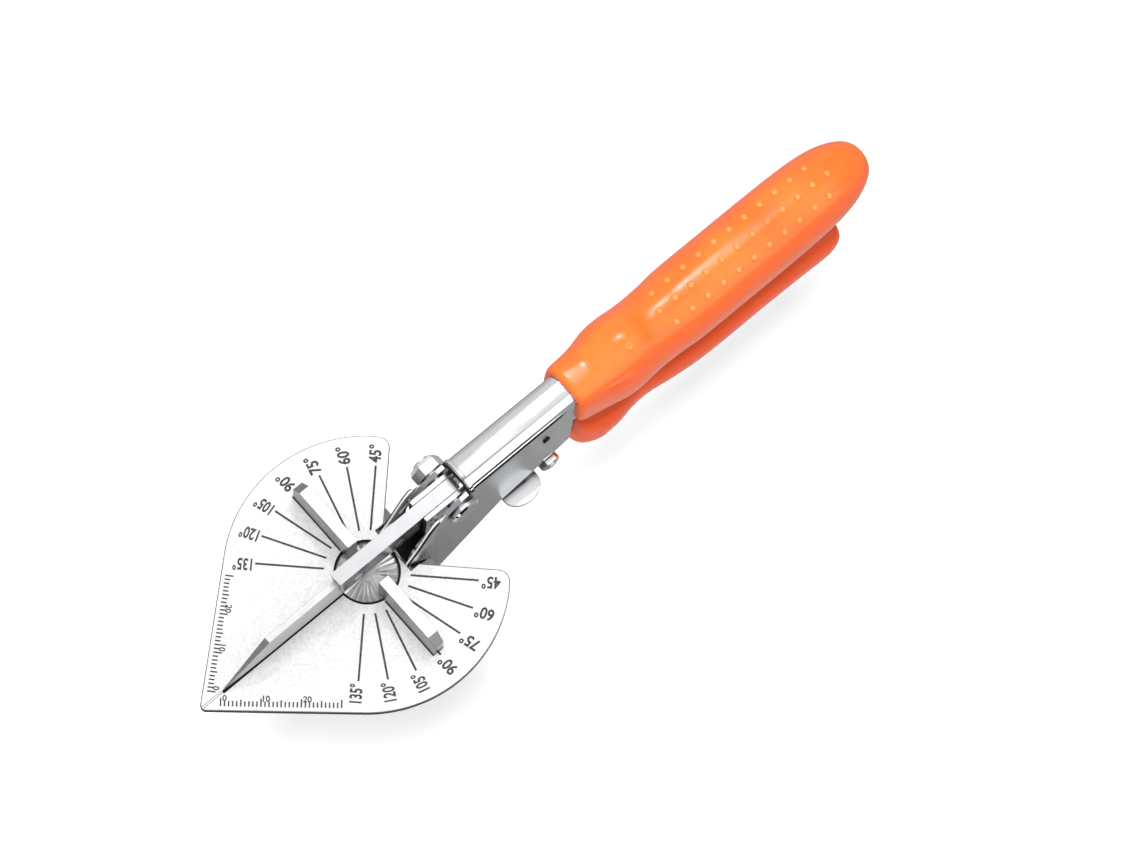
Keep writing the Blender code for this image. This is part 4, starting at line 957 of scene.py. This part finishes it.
@dataclass
class UpperHandle(SubAssembly):
    """The pressed channel with its collar lip, wall edges, heel, pivot and small pins."""

    half_width: float = 5.2 * MM
    top: float = 24.7 * MM
    corner: float = 3.4 * MM
    corner_points: int = 10
    lip_x: float = -28.9 * MM
    lip_width: float = 1.3 * MM
    lip_drop: float = 1.0 * MM
    lip_profile: tuple[Pair, ...] = (
        (0.0, 0.25), (0.15, -0.35), (0.85, -0.35), (1.0, 0.0), (1.0, 0.6), (0.0, 0.6))
    shadow_band_x: float = -28.42 * MM
    shadow_band_width: float = 0.42 * MM
    shadow_band_drop: float = 0.1 * MM
    shadow_band_profile: tuple[Pair, ...] = ((0.0, -0.12), (1.0, -0.12), (1.0, 1.15), (0.0, 1.15))
    edge_front: float = -0.3 * MM
    edge_across: Pair = (5.1 * MM, 5.8 * MM)
    highlight_front: float = 0.5 * MM
    highlight_back: float = 0.6 * MM
    highlight_across: Pair = (4.98 * MM, 5.44 * MM)
    line_front: float = 0.42 * MM
    line_back: float = 0.35 * MM
    line_across: Pair = (5.44 * MM, 5.8 * MM)
    # X and Z of the wall's front edge, how far the strip reaches back, and the wall's Y there
    edge_rows: tuple[tuple[float, ...], ...] = (
        (-18.2, 20.4, 2.6, 5.15), (-16.8, 18.9, 3.2, 5.20), (-15.6, 16.8, 3.6, 5.35),
        (-14.7, 14.8, 3.6, 5.58), (-13.8, 12.7, 3.8, 5.78), (-12.9, 10.6, 4.6, 6.02),
        (-12.0, 8.6, 5.4, 6.30), (-11.1, 6.9, 6.2, 6.58), (-10.2, 5.4, 7.0, 6.82),
        (-9.3, 4.1, 7.9, 7.05), (-9.0, 3.0, 8.2, 7.25), (-9.0, 2.05, 8.2, 7.42))
    notch: tuple[Pair, ...] = ((-11.75, 7.0), (-15.02, 7.0), (-15.02, 10.3))
    notch_z: Pair = (-0.12 * MM, 0.0)
    edge_mm: float = 0.18
    block_edge_mm: float = 0.2
    bolt_edge_mm: float = 0.15
    nut_edge_mm: float = 0.3
    pin_edge_mm: float = 0.12

    def crown_section(self, inset: float, drop: float) -> list[Pair]:
        """The channel's crown in section, from one side to the other, set in by an inset.

        Args:
            inset: how far in from the channel's outer face; less than zero goes out.
            drop: how far it reaches down the walls.

        Returns:
            Points in Y and Z.
        """
        middle, low = self.half_width - self.corner, self.top - self.corner
        radius = self.corner - inset
        turns = [math.pi / 2 * step / self.corner_points
                 for step in range(self.corner_points + 1)]
        half = [(middle + radius, low - drop)]
        half += [(middle + radius * math.cos(turn), low + radius * math.sin(turn))
                 for turn in turns]
        return half + [(-y, z) for y, z in reversed(half)]

    def band(self, name: str, x: float, width: float, drop: float, profile: Sequence[Pair]
             ) -> Mesh:
        """A band that follows the channel's crown.

        Args:
            name: the mesh's name.
            x: where it starts.
            width: how far it reaches back.
            drop: how far it reaches down the walls.
            profile: its section, as shares of the width and insets in millimetres.

        Returns:
            The band's mesh.
        """
        lines = [[(x - width * share, y, z) for y, z in self.crown_section(inset * MM, drop)]
                 for share, inset in profile]
        return loft_mesh(name, list(zip(*lines)))

    def wall_edge(self, name: str, side: int, front: float, back: Optional[float], across: Pair
                  ) -> Mesh:
        """A strip along the front edge of one wall, from the pivot down to the plate.

        Args:
            name: the mesh's name.
            side: 1 for the left wall, -1 for the right.
            front: how far it reaches in front of the edge line.
            back: how far it reaches behind, or None to run back to the wall's own face.
            across: its least and greatest distance from the middle.

        Returns:
            The strip's mesh.
        """
        inner, outer = across
        rings = []
        for x, z, depth, wall_y in self.edge_rows:
            rear, rear_outer = (depth * MM, wall_y * MM) if back is None else (back, outer)
            rings.append([(x * MM + front, side * inner, z * MM),
                          (x * MM + front, side * outer, z * MM),
                          (x * MM - rear, side * rear_outer, z * MM),
                          (x * MM - rear, side * inner, z * MM)])
        return loft_mesh(name, rings)

    def build(self) -> None:
        """Dress the handle and what is fixed to it."""
        chrome, bright, dark = HANDLE_CHROME.build(), FASTENER_BRIGHT.build(), DARK_OXIDE.build()
        black, highlight_paint, shaded = PAINTED_SHADOW_BLACK.build(), PAINTED_EDGE_HIGHLIGHT.build(), NOTCH_SHADED.build()
        self.dress("upper_handle", chrome, Slot.HANDLE, self.edge_mm)
        # At the collar: the chrome lip, and a black band painted as the shadow at its front edge
        for name, x, width, drop, profile, finish in (
                ("collar_lip", self.lip_x, self.lip_width, self.lip_drop, self.lip_profile,
                 chrome),
                ("collar_shadow_band", self.shadow_band_x, self.shadow_band_width, self.shadow_band_drop, self.shadow_band_profile,
                 black)):
            self.add(name, self.band(name, x, width, drop, profile), finish, Slot.HANDLE)
        for side, word in ((1, "left"), (-1, "right")):
            for stem, front, back, across, finish in (
                    ("wall_edge", self.edge_front, None, self.edge_across, chrome),
                    # A pale strip painted along the wall's front edge as a highlight
                    ("wall_edge_highlight", self.highlight_front, self.highlight_back, self.highlight_across, highlight_paint),
                    # A black line painted beside the pale strip as the edge's shadow
                    ("wall_edge_shadow_line", self.line_front, self.line_back, self.line_across,
                     black)):
                name = f"{stem}_{word}"
                self.add(name, self.wall_edge(name, side, front, back, across), finish,
                         Slot.HANDLE)
            name = f"notch_shade_{word}"
            self.add(name, loft_mesh(name, [[(x * MM, side * y * MM, z) for x, y in self.notch]
                                            for z in self.notch_z]), shaded, Slot.HANDLE)
        self.dress("heel_block", dark, Slot.DARK, self.block_edge_mm)
        self.dress("pivot_bolt", chrome, Slot.FASTENER, self.bolt_edge_mm)
        for node in ("heel_pin", "plate_stud_left", "plate_stud_right"):
            self.dress(node, bright, Slot.FASTENER, self.bolt_edge_mm)
        self.dress("pivot_nut", bright, Slot.FASTENER, self.nut_edge_mm)
        self.dress("catch_pin", dark, Slot.FASTENER, self.pin_edge_mm)


@dataclass
class Fence(SubAssembly):
    """The serrated hub and its two bars."""

    body: Body = Body.FENCE
    bar_shadow_half: float = 1.72 * MM
    bar_shadow_y: Pair = (8.7 * MM, 27.4 * MM)
    bar_shadow_z: Pair = (2.06 * MM, 2.34 * MM)
    hub_edge_mm: float = 0.08
    bar_edge_mm: float = 0.18

    def bar_shadow_strip(self, side: int) -> Mesh:
        """A thin black strip between a bar and the plate, painted as its contact shadow.

        Args:
            side: 1 for the left bar, -1 for the right.

        Returns:
            The strip's mesh.
        """
        half, (low, high) = self.bar_shadow_half, self.bar_shadow_z
        return loft_mesh("bar_shadow_strip", [
            [(-half, side * y, low), (half, side * y, low), (half, side * y, high),
             (-half, side * y, high)] for y in self.bar_shadow_y])

    def build(self) -> None:
        """Dress the hub and the bars."""
        bar_shadow_paint, zinc = PAINTED_BAR_SHADOW.build(), FENCE_ZINC.build()
        self.dress("fence_hub", HUB_STEEL.build(), Slot.FENCE, self.hub_edge_mm)
        for word in ("left", "right"):
            self.dress(f"fence_bar_{word}", zinc, Slot.FENCE, self.bar_edge_mm)
        # Painted shadow: a black strip under each bar
        for side, word in ((1, "left"), (-1, "right")):
            self.add(f"fence_glide_{word}", self.bar_shadow_strip(side), bar_shadow_paint, Slot.FENCE)


@dataclass
class BladeLever(SubAssembly):
    """The blade, its holder, the two cheeks and what holds them."""

    body: Body = Body.LEVER
    cheek_edge_mm: float = 0.18
    holder_edge_mm: float = 0.2
    blade_edge_mm: float = 0.05
    fastener_edge_mm: float = 0.12
    spring_edge_mm: float = 0.02

    def build(self) -> None:
        """Dress the lever's pieces."""
        bright = FASTENER_BRIGHT.build()
        self.dress("blade_lever", LEVER_ZINC.build(), Slot.LEVER, self.cheek_edge_mm)
        self.dress("blade_holder", HOLDER_ZINC.build(), Slot.HOLDER, self.holder_edge_mm)
        self.dress("blade", BLADE_GROUND.build(), Slot.BLADE, self.blade_edge_mm)
        for node in ("blade_screw_front", "blade_screw_rear", "holder_rivet_upper",
                     "holder_rivet_lower", "latch_screw", "latch_washer", "latch_nut"):
            self.dress(node, bright, Slot.FASTENER, self.fastener_edge_mm)
        self.dress("return_spring", SPRING_WIRE.build(), Slot.SPRING, self.spring_edge_mm)


@dataclass
class Latch(SubAssembly):
    """The thumb latch."""

    body: Body = Body.LATCH
    edge_mm: float = 0.12

    def build(self) -> None:
        """Dress the latch."""
        self.dress("latch", LEVER_ZINC.build(), Slot.LEVER, self.edge_mm)


@dataclass
class Sleeve(SubAssembly):
    """A dipped sleeve, lofted through sections that are given as shares of its sizes."""

    name: str = "sleeve"
    front: float = 0.0
    end: float = -100.0 * MM
    axis_z: float = 0.0
    half: float = 10.0 * MM
    rise: float = 10.0 * MM
    depth: float = 10.0 * MM
    shares: tuple[tuple[float, ...], ...] = ()
    round_points: int = 72
    steps: int = 6

    def rows(self) -> list[tuple[float, ...]]:
        """Smooth rows between the given ones, on a Catmull-Rom curve.

        Returns:
            The rows, with the last one at the sleeve's end.
        """
        made = []
        last = len(self.shares) - 1
        for index in range(last):
            four = [self.shares[max(0, min(last, index + shift))] for shift in (-1, 0, 1, 2)]
            for step in range(self.steps):
                t = step / self.steps
                made.append(tuple(
                    ((2 * q) + (r - p) * t + (2 * p - 5 * q + 4 * r - s) * t * t
                     + (3 * q - p - 3 * r + s) * t ** 3) / 2
                    for p, q, r, s in zip(*four)))
        return [*made, self.shares[last]]

    def ring(self, row: Sequence[float]) -> list[Point]:
        """One rounded section.

        Args:
            row: the share of the length, half width, rise and depth, and the squareness.

        Returns:
            The section's points.
        """
        along, width, up, down, squareness = row
        points = []
        for index in range(self.round_points):
            turn = math.tau * index / self.round_points
            side, lift = (math.copysign(abs(part) ** (2 / squareness), part)
                          for part in (math.cos(turn), math.sin(turn)))
            reach = self.rise * up if lift > 0 else self.depth * down
            points.append((self.front + (self.end - self.front) * along,
                           self.half * width * side, self.axis_z + reach * lift))
        return points

    def skin(self) -> Mesh:
        """The sleeve's closed skin."""
        return loft_mesh(self.name, [self.ring(row) for row in self.rows()])


@dataclass
class UpperGrip(Sleeve):
    """The upper sleeve with its thumb rise and three rows of bumps."""

    name: str = "upper_grip_sleeve"
    front: float = -64.8 * MM
    end: float = -172.3 * MM
    axis_z: float = 14.2 * MM
    half: float = 10.6 * MM
    rise: float = 13.2 * MM
    depth: float = 11.2 * MM
    shares: tuple[tuple[float, ...], ...] = (
        (0.000, 0.630, 0.850, 0.060, 4.4), (0.006, 0.690, 0.888, 0.130, 4.4),
        (0.016, 0.715, 0.900, 0.240, 4.2), (0.040, 0.745, 0.894, 0.520, 3.6),
        (0.075, 0.795, 0.886, 0.800, 3.0), (0.105, 0.860, 0.916, 0.900, 2.7),
        (0.135, 0.935, 0.982, 0.945, 2.5), (0.165, 0.968, 1.006, 0.966, 2.4),
        (0.195, 0.970, 1.000, 0.982, 2.3), (0.222, 0.948, 0.956, 0.990, 2.3),
        (0.246, 0.932, 0.890, 0.995, 2.4), (0.270, 0.930, 0.862, 1.000, 2.4),
        (0.327, 0.950, 0.860, 1.000, 2.4), (0.383, 0.991, 0.879, 1.000, 2.5),
        (0.541, 1.000, 0.894, 1.000, 2.5), (0.700, 1.000, 0.886, 0.991, 2.5),
        (0.811, 0.982, 0.864, 0.946, 2.4), (0.886, 0.910, 0.788, 0.839, 2.3),
        (0.941, 0.757, 0.667, 0.661, 2.2), (0.979, 0.541, 0.477, 0.446, 2.1),
        (0.995, 0.306, 0.273, 0.232, 2.0), (1.000, 0.108, 0.098, 0.071, 2.0))
    bump_radius: float = 1.0 * MM
    bump_squat: float = 0.5
    bump_rows: int = 3
    bumps_per_row: int = 12
    bump_pitch: float = 5.45 * MM
    bump_stagger: float = 0.33
    bump_spacing: float = 5.0 * MM
    bump_offset: float = 0.55 * MM
    bump_first_x: float = -96.9 * MM
    drop_from: float = 60.0 * MM
    pip_place: Point = (-83.9 * MM, 3.0 * MM, 27.12 * MM)
    pip_steps: int = 24
    pip_profile: tuple[Pair, ...] = (
        (1.05, -0.9), (1.05, 0.0), (0.96, 0.2), (0.78, 0.28), (0.62, 0.2), (0.5, 0.06),
        (0.34, 0.02), (0.05, 0.04))

    def pip(self) -> Mesh:
        """The round moulded pip on the thumb rise."""
        profile = [(radius * MM, rise * MM) for radius, rise in self.pip_profile]
        return loft_mesh("thumb_pip", circles(profile, self.pip_place, self.pip_steps))

    def build(self) -> None:
        """Make the sleeve and its bumps, which cast no orange light on the table."""
        vinyl, highlight_vinyl = UPPER_VINYL.build(), BUMP_HIGHLIGHT_VINYL.build()
        skin = self.skin()
        bumps = GripBumps("grip_bumps", {
            "Per Row": self.bumps_per_row, "Rows": self.bump_rows, "Pitch": self.bump_pitch,
            "Row Spacing": self.bump_spacing, "Row Offset": self.bump_offset,
            "Stagger": self.bump_stagger, "First X": self.bump_first_x,
            "Above": self.drop_from, "Radius": self.bump_radius, "Squat": self.bump_squat},
            highlight_vinyl).mesh(skin)
        bumps.shade_smooth()
        # Painted highlight: the bumps and the pip take the paler orange
        for piece in (self.add(self.name, skin, vinyl, Slot.UPPER_GRIP, ["upper_grip"]),
                      self.add("upper_grip_bumps", bumps, highlight_vinyl, Slot.UPPER_GRIP),
                      self.add("thumb_pip", self.pip(), highlight_vinyl, Slot.UPPER_GRIP)):
            piece.visible_diffuse = False


@dataclass
class LowerGrip(Sleeve):
    """The lower sleeve with its hooked finger guard."""

    body: Body = Body.LEVER
    name: str = "lower_grip_sleeve"
    front: float = -68.8 * MM
    end: float = -161.4 * MM
    axis_z: float = -8.2 * MM
    half: float = 10.9 * MM
    rise: float = 9.1 * MM
    depth: float = 15.4 * MM
    shares: tuple[tuple[float, ...], ...] = (
        (0.000, 0.550, 0.923, 0.604, 3.2), (0.020, 0.697, 0.956, 0.831, 2.9),
        (0.057, 0.850, 0.978, 0.974, 2.5), (0.089, 0.880, 0.989, 1.000, 2.4),
        (0.131, 0.872, 0.989, 0.935, 2.3), (0.183, 0.807, 1.000, 0.740, 2.3),
        (0.247, 0.798, 1.000, 0.597, 2.4), (0.331, 0.899, 1.000, 0.571, 2.5),
        (0.436, 0.982, 1.000, 0.597, 2.5), (0.563, 1.000, 1.000, 0.623, 2.5),
        (0.679, 1.000, 0.989, 0.636, 2.5), (0.837, 1.020, 0.967, 0.623, 2.6),
        (0.932, 1.040, 0.945, 0.610, 2.8), (0.974, 1.000, 0.900, 0.575, 2.8),
        (0.993, 0.880, 0.750, 0.480, 2.7), (1.000, 0.560, 0.450, 0.300, 2.5))

    def build(self) -> None:
        """Make the sleeve; like the upper one it casts no orange light on the table."""
        piece = self.add(self.name, self.skin(), LOWER_VINYL.build(), Slot.LOWER_GRIP,
                         ["lower_grip"])
        piece.visible_diffuse = False


@dataclass(frozen=True)
class Card:
    """A card or flag of the studio: its corners and how bright it shines in reflections."""

    name: str
    corners: Corners
    glow: float


@dataclass(frozen=True)
class Softbox:
    """A square lamp that gives light alone, or is seen in reflections alone."""

    name: str
    place: Point
    aim: Point
    side: float
    watts: float
    mirrored: bool


def level(x: Pair, y: Pair, z: float) -> Corners:
    """Corners of a level rectangle."""
    return (x[0], y[0], z), (x[1], y[0], z), (x[1], y[1], z), (x[0], y[1], z)


def upright(x: Pair, y: float, z: Pair) -> Corners:
    """Corners of an upright rectangle along X."""
    return (x[0], y, z[0]), (x[1], y, z[0]), (x[1], y, z[1]), (x[0], y, z[1])


@dataclass
class Studio:
    """Floor, lights, reflection cards and camera."""

    floor_z: float = -80.0 * MM
    floor_half: float = 4.0
    floor_glow: float = 0.33
    world_glow: float = 0.55
    lens: float = 85.0
    camera_place: Point = (0.12687, 0.12904, 0.66311)
    camera_right: Point = (-0.7408, 0.6657, 0.0900)
    camera_up: Point = (-0.6130, -0.7248, 0.3145)
    lamps: tuple[Softbox, ...] = (
        Softbox("key_softbox", (0.13, -0.02, 1.2), (-0.06, 0.0, 0.0), 0.4, 13.0, False),
        Softbox("gloss_lamp_left", (-0.40, -0.27, 0.97), (-0.11, 0.0, 0.02), 0.036, 1.0, True),
        Softbox("gloss_lamp_right", (-0.50, -0.18, 0.97), (-0.11, 0.0, 0.02), 0.036, 0.25, True))
    card_x: Pair = (-1.1, 0.5)
    card_low: float = -24.7 * MM
    card_top: float = 1.0
    card_side: float = 0.9
    card_near: float = 0.052
    card_middle: float = 0.16
    card_far: float = 0.92
    ridge_left: Pair = (-0.235, -0.14)
    ridge_half: float = 0.03
    left_foot: float = 0.14
    right_foot: float = 0.26
    flag_foot: float = -0.07
    grip_x: float = -0.0645
    mirror_slope: float = 0.285
    grip_card_x: float = -0.345
    graded_steps: int = 9
    graded_x: float = -0.005
    graded_width: float = 0.008
    graded_glow: Pair = (0.27, 0.5)

    def plain(self, name: str, shade: str, roughness: float, glow: float) -> Material:
        """A plain matte studio material.

        Args:
            name: the material's name.
            shade: its colour.
            roughness: its roughness.
            glow: light that it gives off by itself.

        Returns:
            The material.
        """
        made = bpy.data.materials.new(name)
        made.use_nodes = True
        shader = made.node_tree.nodes["Principled BSDF"]
        for socket, value in (
                ("Base Color", linear(shade)), ("Roughness", roughness),
                ("Specular IOR Level", 0.0), ("Emission Color", linear("#FFFFFF")),
                ("Emission Strength", glow)):
            shader.inputs[socket].default_value = value
        return made

    def sheet(self, name: str, corners: Corners, finish: Material) -> bpy.types.Object:
        """One flat stage piece.

        Args:
            name: its name.
            corners: its four corners.
            finish: its material.

        Returns:
            The linked sheet.
        """
        mesh = bpy.data.meshes.new(name)
        mesh.from_pydata(corners, [], [(0, 1, 2, 3)])
        mesh.materials.append(finish)
        shape = link(name, mesh)
        return shape

    def beside_x(self, y: float) -> float:
        """How far back a card at some distance may reach before the grip mirrors it."""
        return self.grip_x - self.mirror_slope * y

    def beside(self, near: float, far: float) -> Corners:
        """Corners of a low level card that only the channel mirrors, not the grip."""
        end, z = self.card_x[1], self.card_low
        return ((self.beside_x(near), near, z), (end, near, z), (end, far, z),
                (self.beside_x(far), far, z))

    def graded_cards(self) -> list[Card]:
        """Low cards under the tool, which grow lighter towards the grips.

        Returns:
            The cards, from the front to the rear.
        """
        start, end = self.card_x
        edges = [end, *(self.graded_x - self.graded_width * step
                        for step in range(1, self.graded_steps)), start]
        near, (front_glow, rear_glow) = self.card_near, self.graded_glow
        made = []
        for index, (front, rear) in enumerate(zip(edges, edges[1:])):
            share = index / (self.graded_steps - 1)
            corners = level((rear, front), (-near, near), self.card_low)
            made.append(Card(f"near_card_{index}", corners,
                             front_glow * (1 - share) + rear_glow * share))
        return made

    def cards(self) -> list[Card]:
        """The cards that the polished steel mirrors.

        Returns:
            White cards above, a light one on the left, and flags and a strip on the right.
        """
        (start, end), rear = self.card_x, self.grip_card_x
        top, side, low = self.card_top, self.card_side, self.card_low
        near, middle, far = self.card_near, self.card_middle, self.card_far
        (outer, inner), ridge = self.ridge_left, self.ridge_half
        return self.graded_cards() + [
            Card("black_right_card", self.beside(near, middle), 0.0),
            Card("white_right_card", self.beside(middle, far), 2.2),
            Card("right_flag", upright((self.beside_x(side), end), side,
                                       (self.flag_foot, self.right_foot)), 0.0),
            Card("top_card", level((rear, end), (outer, inner), top), 1.9),
            Card("top_left_card", level((rear, end), (-side, outer), top), 1.05),
            Card("top_grip_card", level((start, rear), (-side, -ridge), top), 1.2),
            Card("top_right_card", level((start, end), (ridge, side), top), 1.85),
            Card("left_card", upright((start, end), -side, (self.left_foot, top)), 1.05),
            Card("right_card", upright((start, end), side, (self.right_foot, top)), 1.85),
            Card("grey_left_card", level((start, end), (-middle, -near), low), 0.5),
            Card("white_left_card", level((start, end), (-far, -middle), low), 1.0)]

    def floor(self) -> None:
        """A lit white shooting table that the steel doesn't mirror."""
        reach = (-self.floor_half, self.floor_half)
        table = self.sheet("studio_floor", level(reach, reach, self.floor_z),
                           self.plain("floor_white_acrylic", "#F8F8F8", 0.9, self.floor_glow))
        table.visible_glossy = False

    def hang(self, card: Card) -> None:
        """Put up one card, which only reflections show.

        Args:
            card: the card.
        """
        shape = self.sheet(card.name, card.corners,
                           self.plain(f"{card.name}_surface", "#000000", 1.0, card.glow))
        shape.visible_camera = False
        shape.visible_diffuse = False
        shape.visible_shadow = False

    def light(self, box: Softbox) -> None:
        """Put up one lamp.

        Args:
            box: the lamp.
        """
        lamp = bpy.data.lights.new(box.name, "AREA")
        lamp.shape = "SQUARE"
        lamp.size = box.side
        lamp.energy = box.watts
        shape = link(box.name, lamp)
        shape.location = box.place
        ray = Vector(box.aim) - Vector(box.place)
        shape.rotation_euler = ray.to_track_quat("-Z", "Y").to_euler()
        shape.visible_glossy = box.mirrored
        shape.visible_diffuse = not box.mirrored

    def camera(self) -> None:
        """The camera, at the photograph's place and angle."""
        right, up = Vector(self.camera_right), Vector(self.camera_up)
        back = right.cross(up).normalized()
        up = back.cross(right).normalized()
        turn = Matrix((right.normalized(), up, back)).transposed().to_4x4()
        data = bpy.data.cameras.new("photo_camera")
        data.lens = self.lens
        data.sensor_width = 36.0
        data.sensor_fit = "HORIZONTAL"
        data.clip_start = 0.02
        shape = link("photo_camera", data)
        shape.matrix_world = Matrix.Translation(self.camera_place) @ turn
        bpy.context.scene.camera = shape

    def build(self) -> None:
        """Set up the whole studio."""
        scene = bpy.context.scene
        scene.view_settings.view_transform = "Standard"
        scene.world = bpy.data.worlds.new("studio_world")
        scene.world.use_nodes = True
        back = scene.world.node_tree.nodes["Background"]
        back.inputs["Color"].default_value = linear("#FFFFFF")
        back.inputs["Strength"].default_value = self.world_glow
        self.floor()
        for card in self.cards():
            self.hang(card)
        for box in self.lamps:
            self.light(box)
        self.camera()


def main() -> None:
    """Build the studio and every sub-assembly in order, and report them."""
    logging.basicConfig(level=logging.INFO, format="%(name)s %(message)s")
    for group in (Studio(), BasePlate(), UpperHandle(), Fence(), BladeLever(), Latch(),
                  UpperGrip(), LowerGrip()):
        group.build()
        LOG.info("%s done", type(group).__name__)


if __name__ == "__main__":
    main()
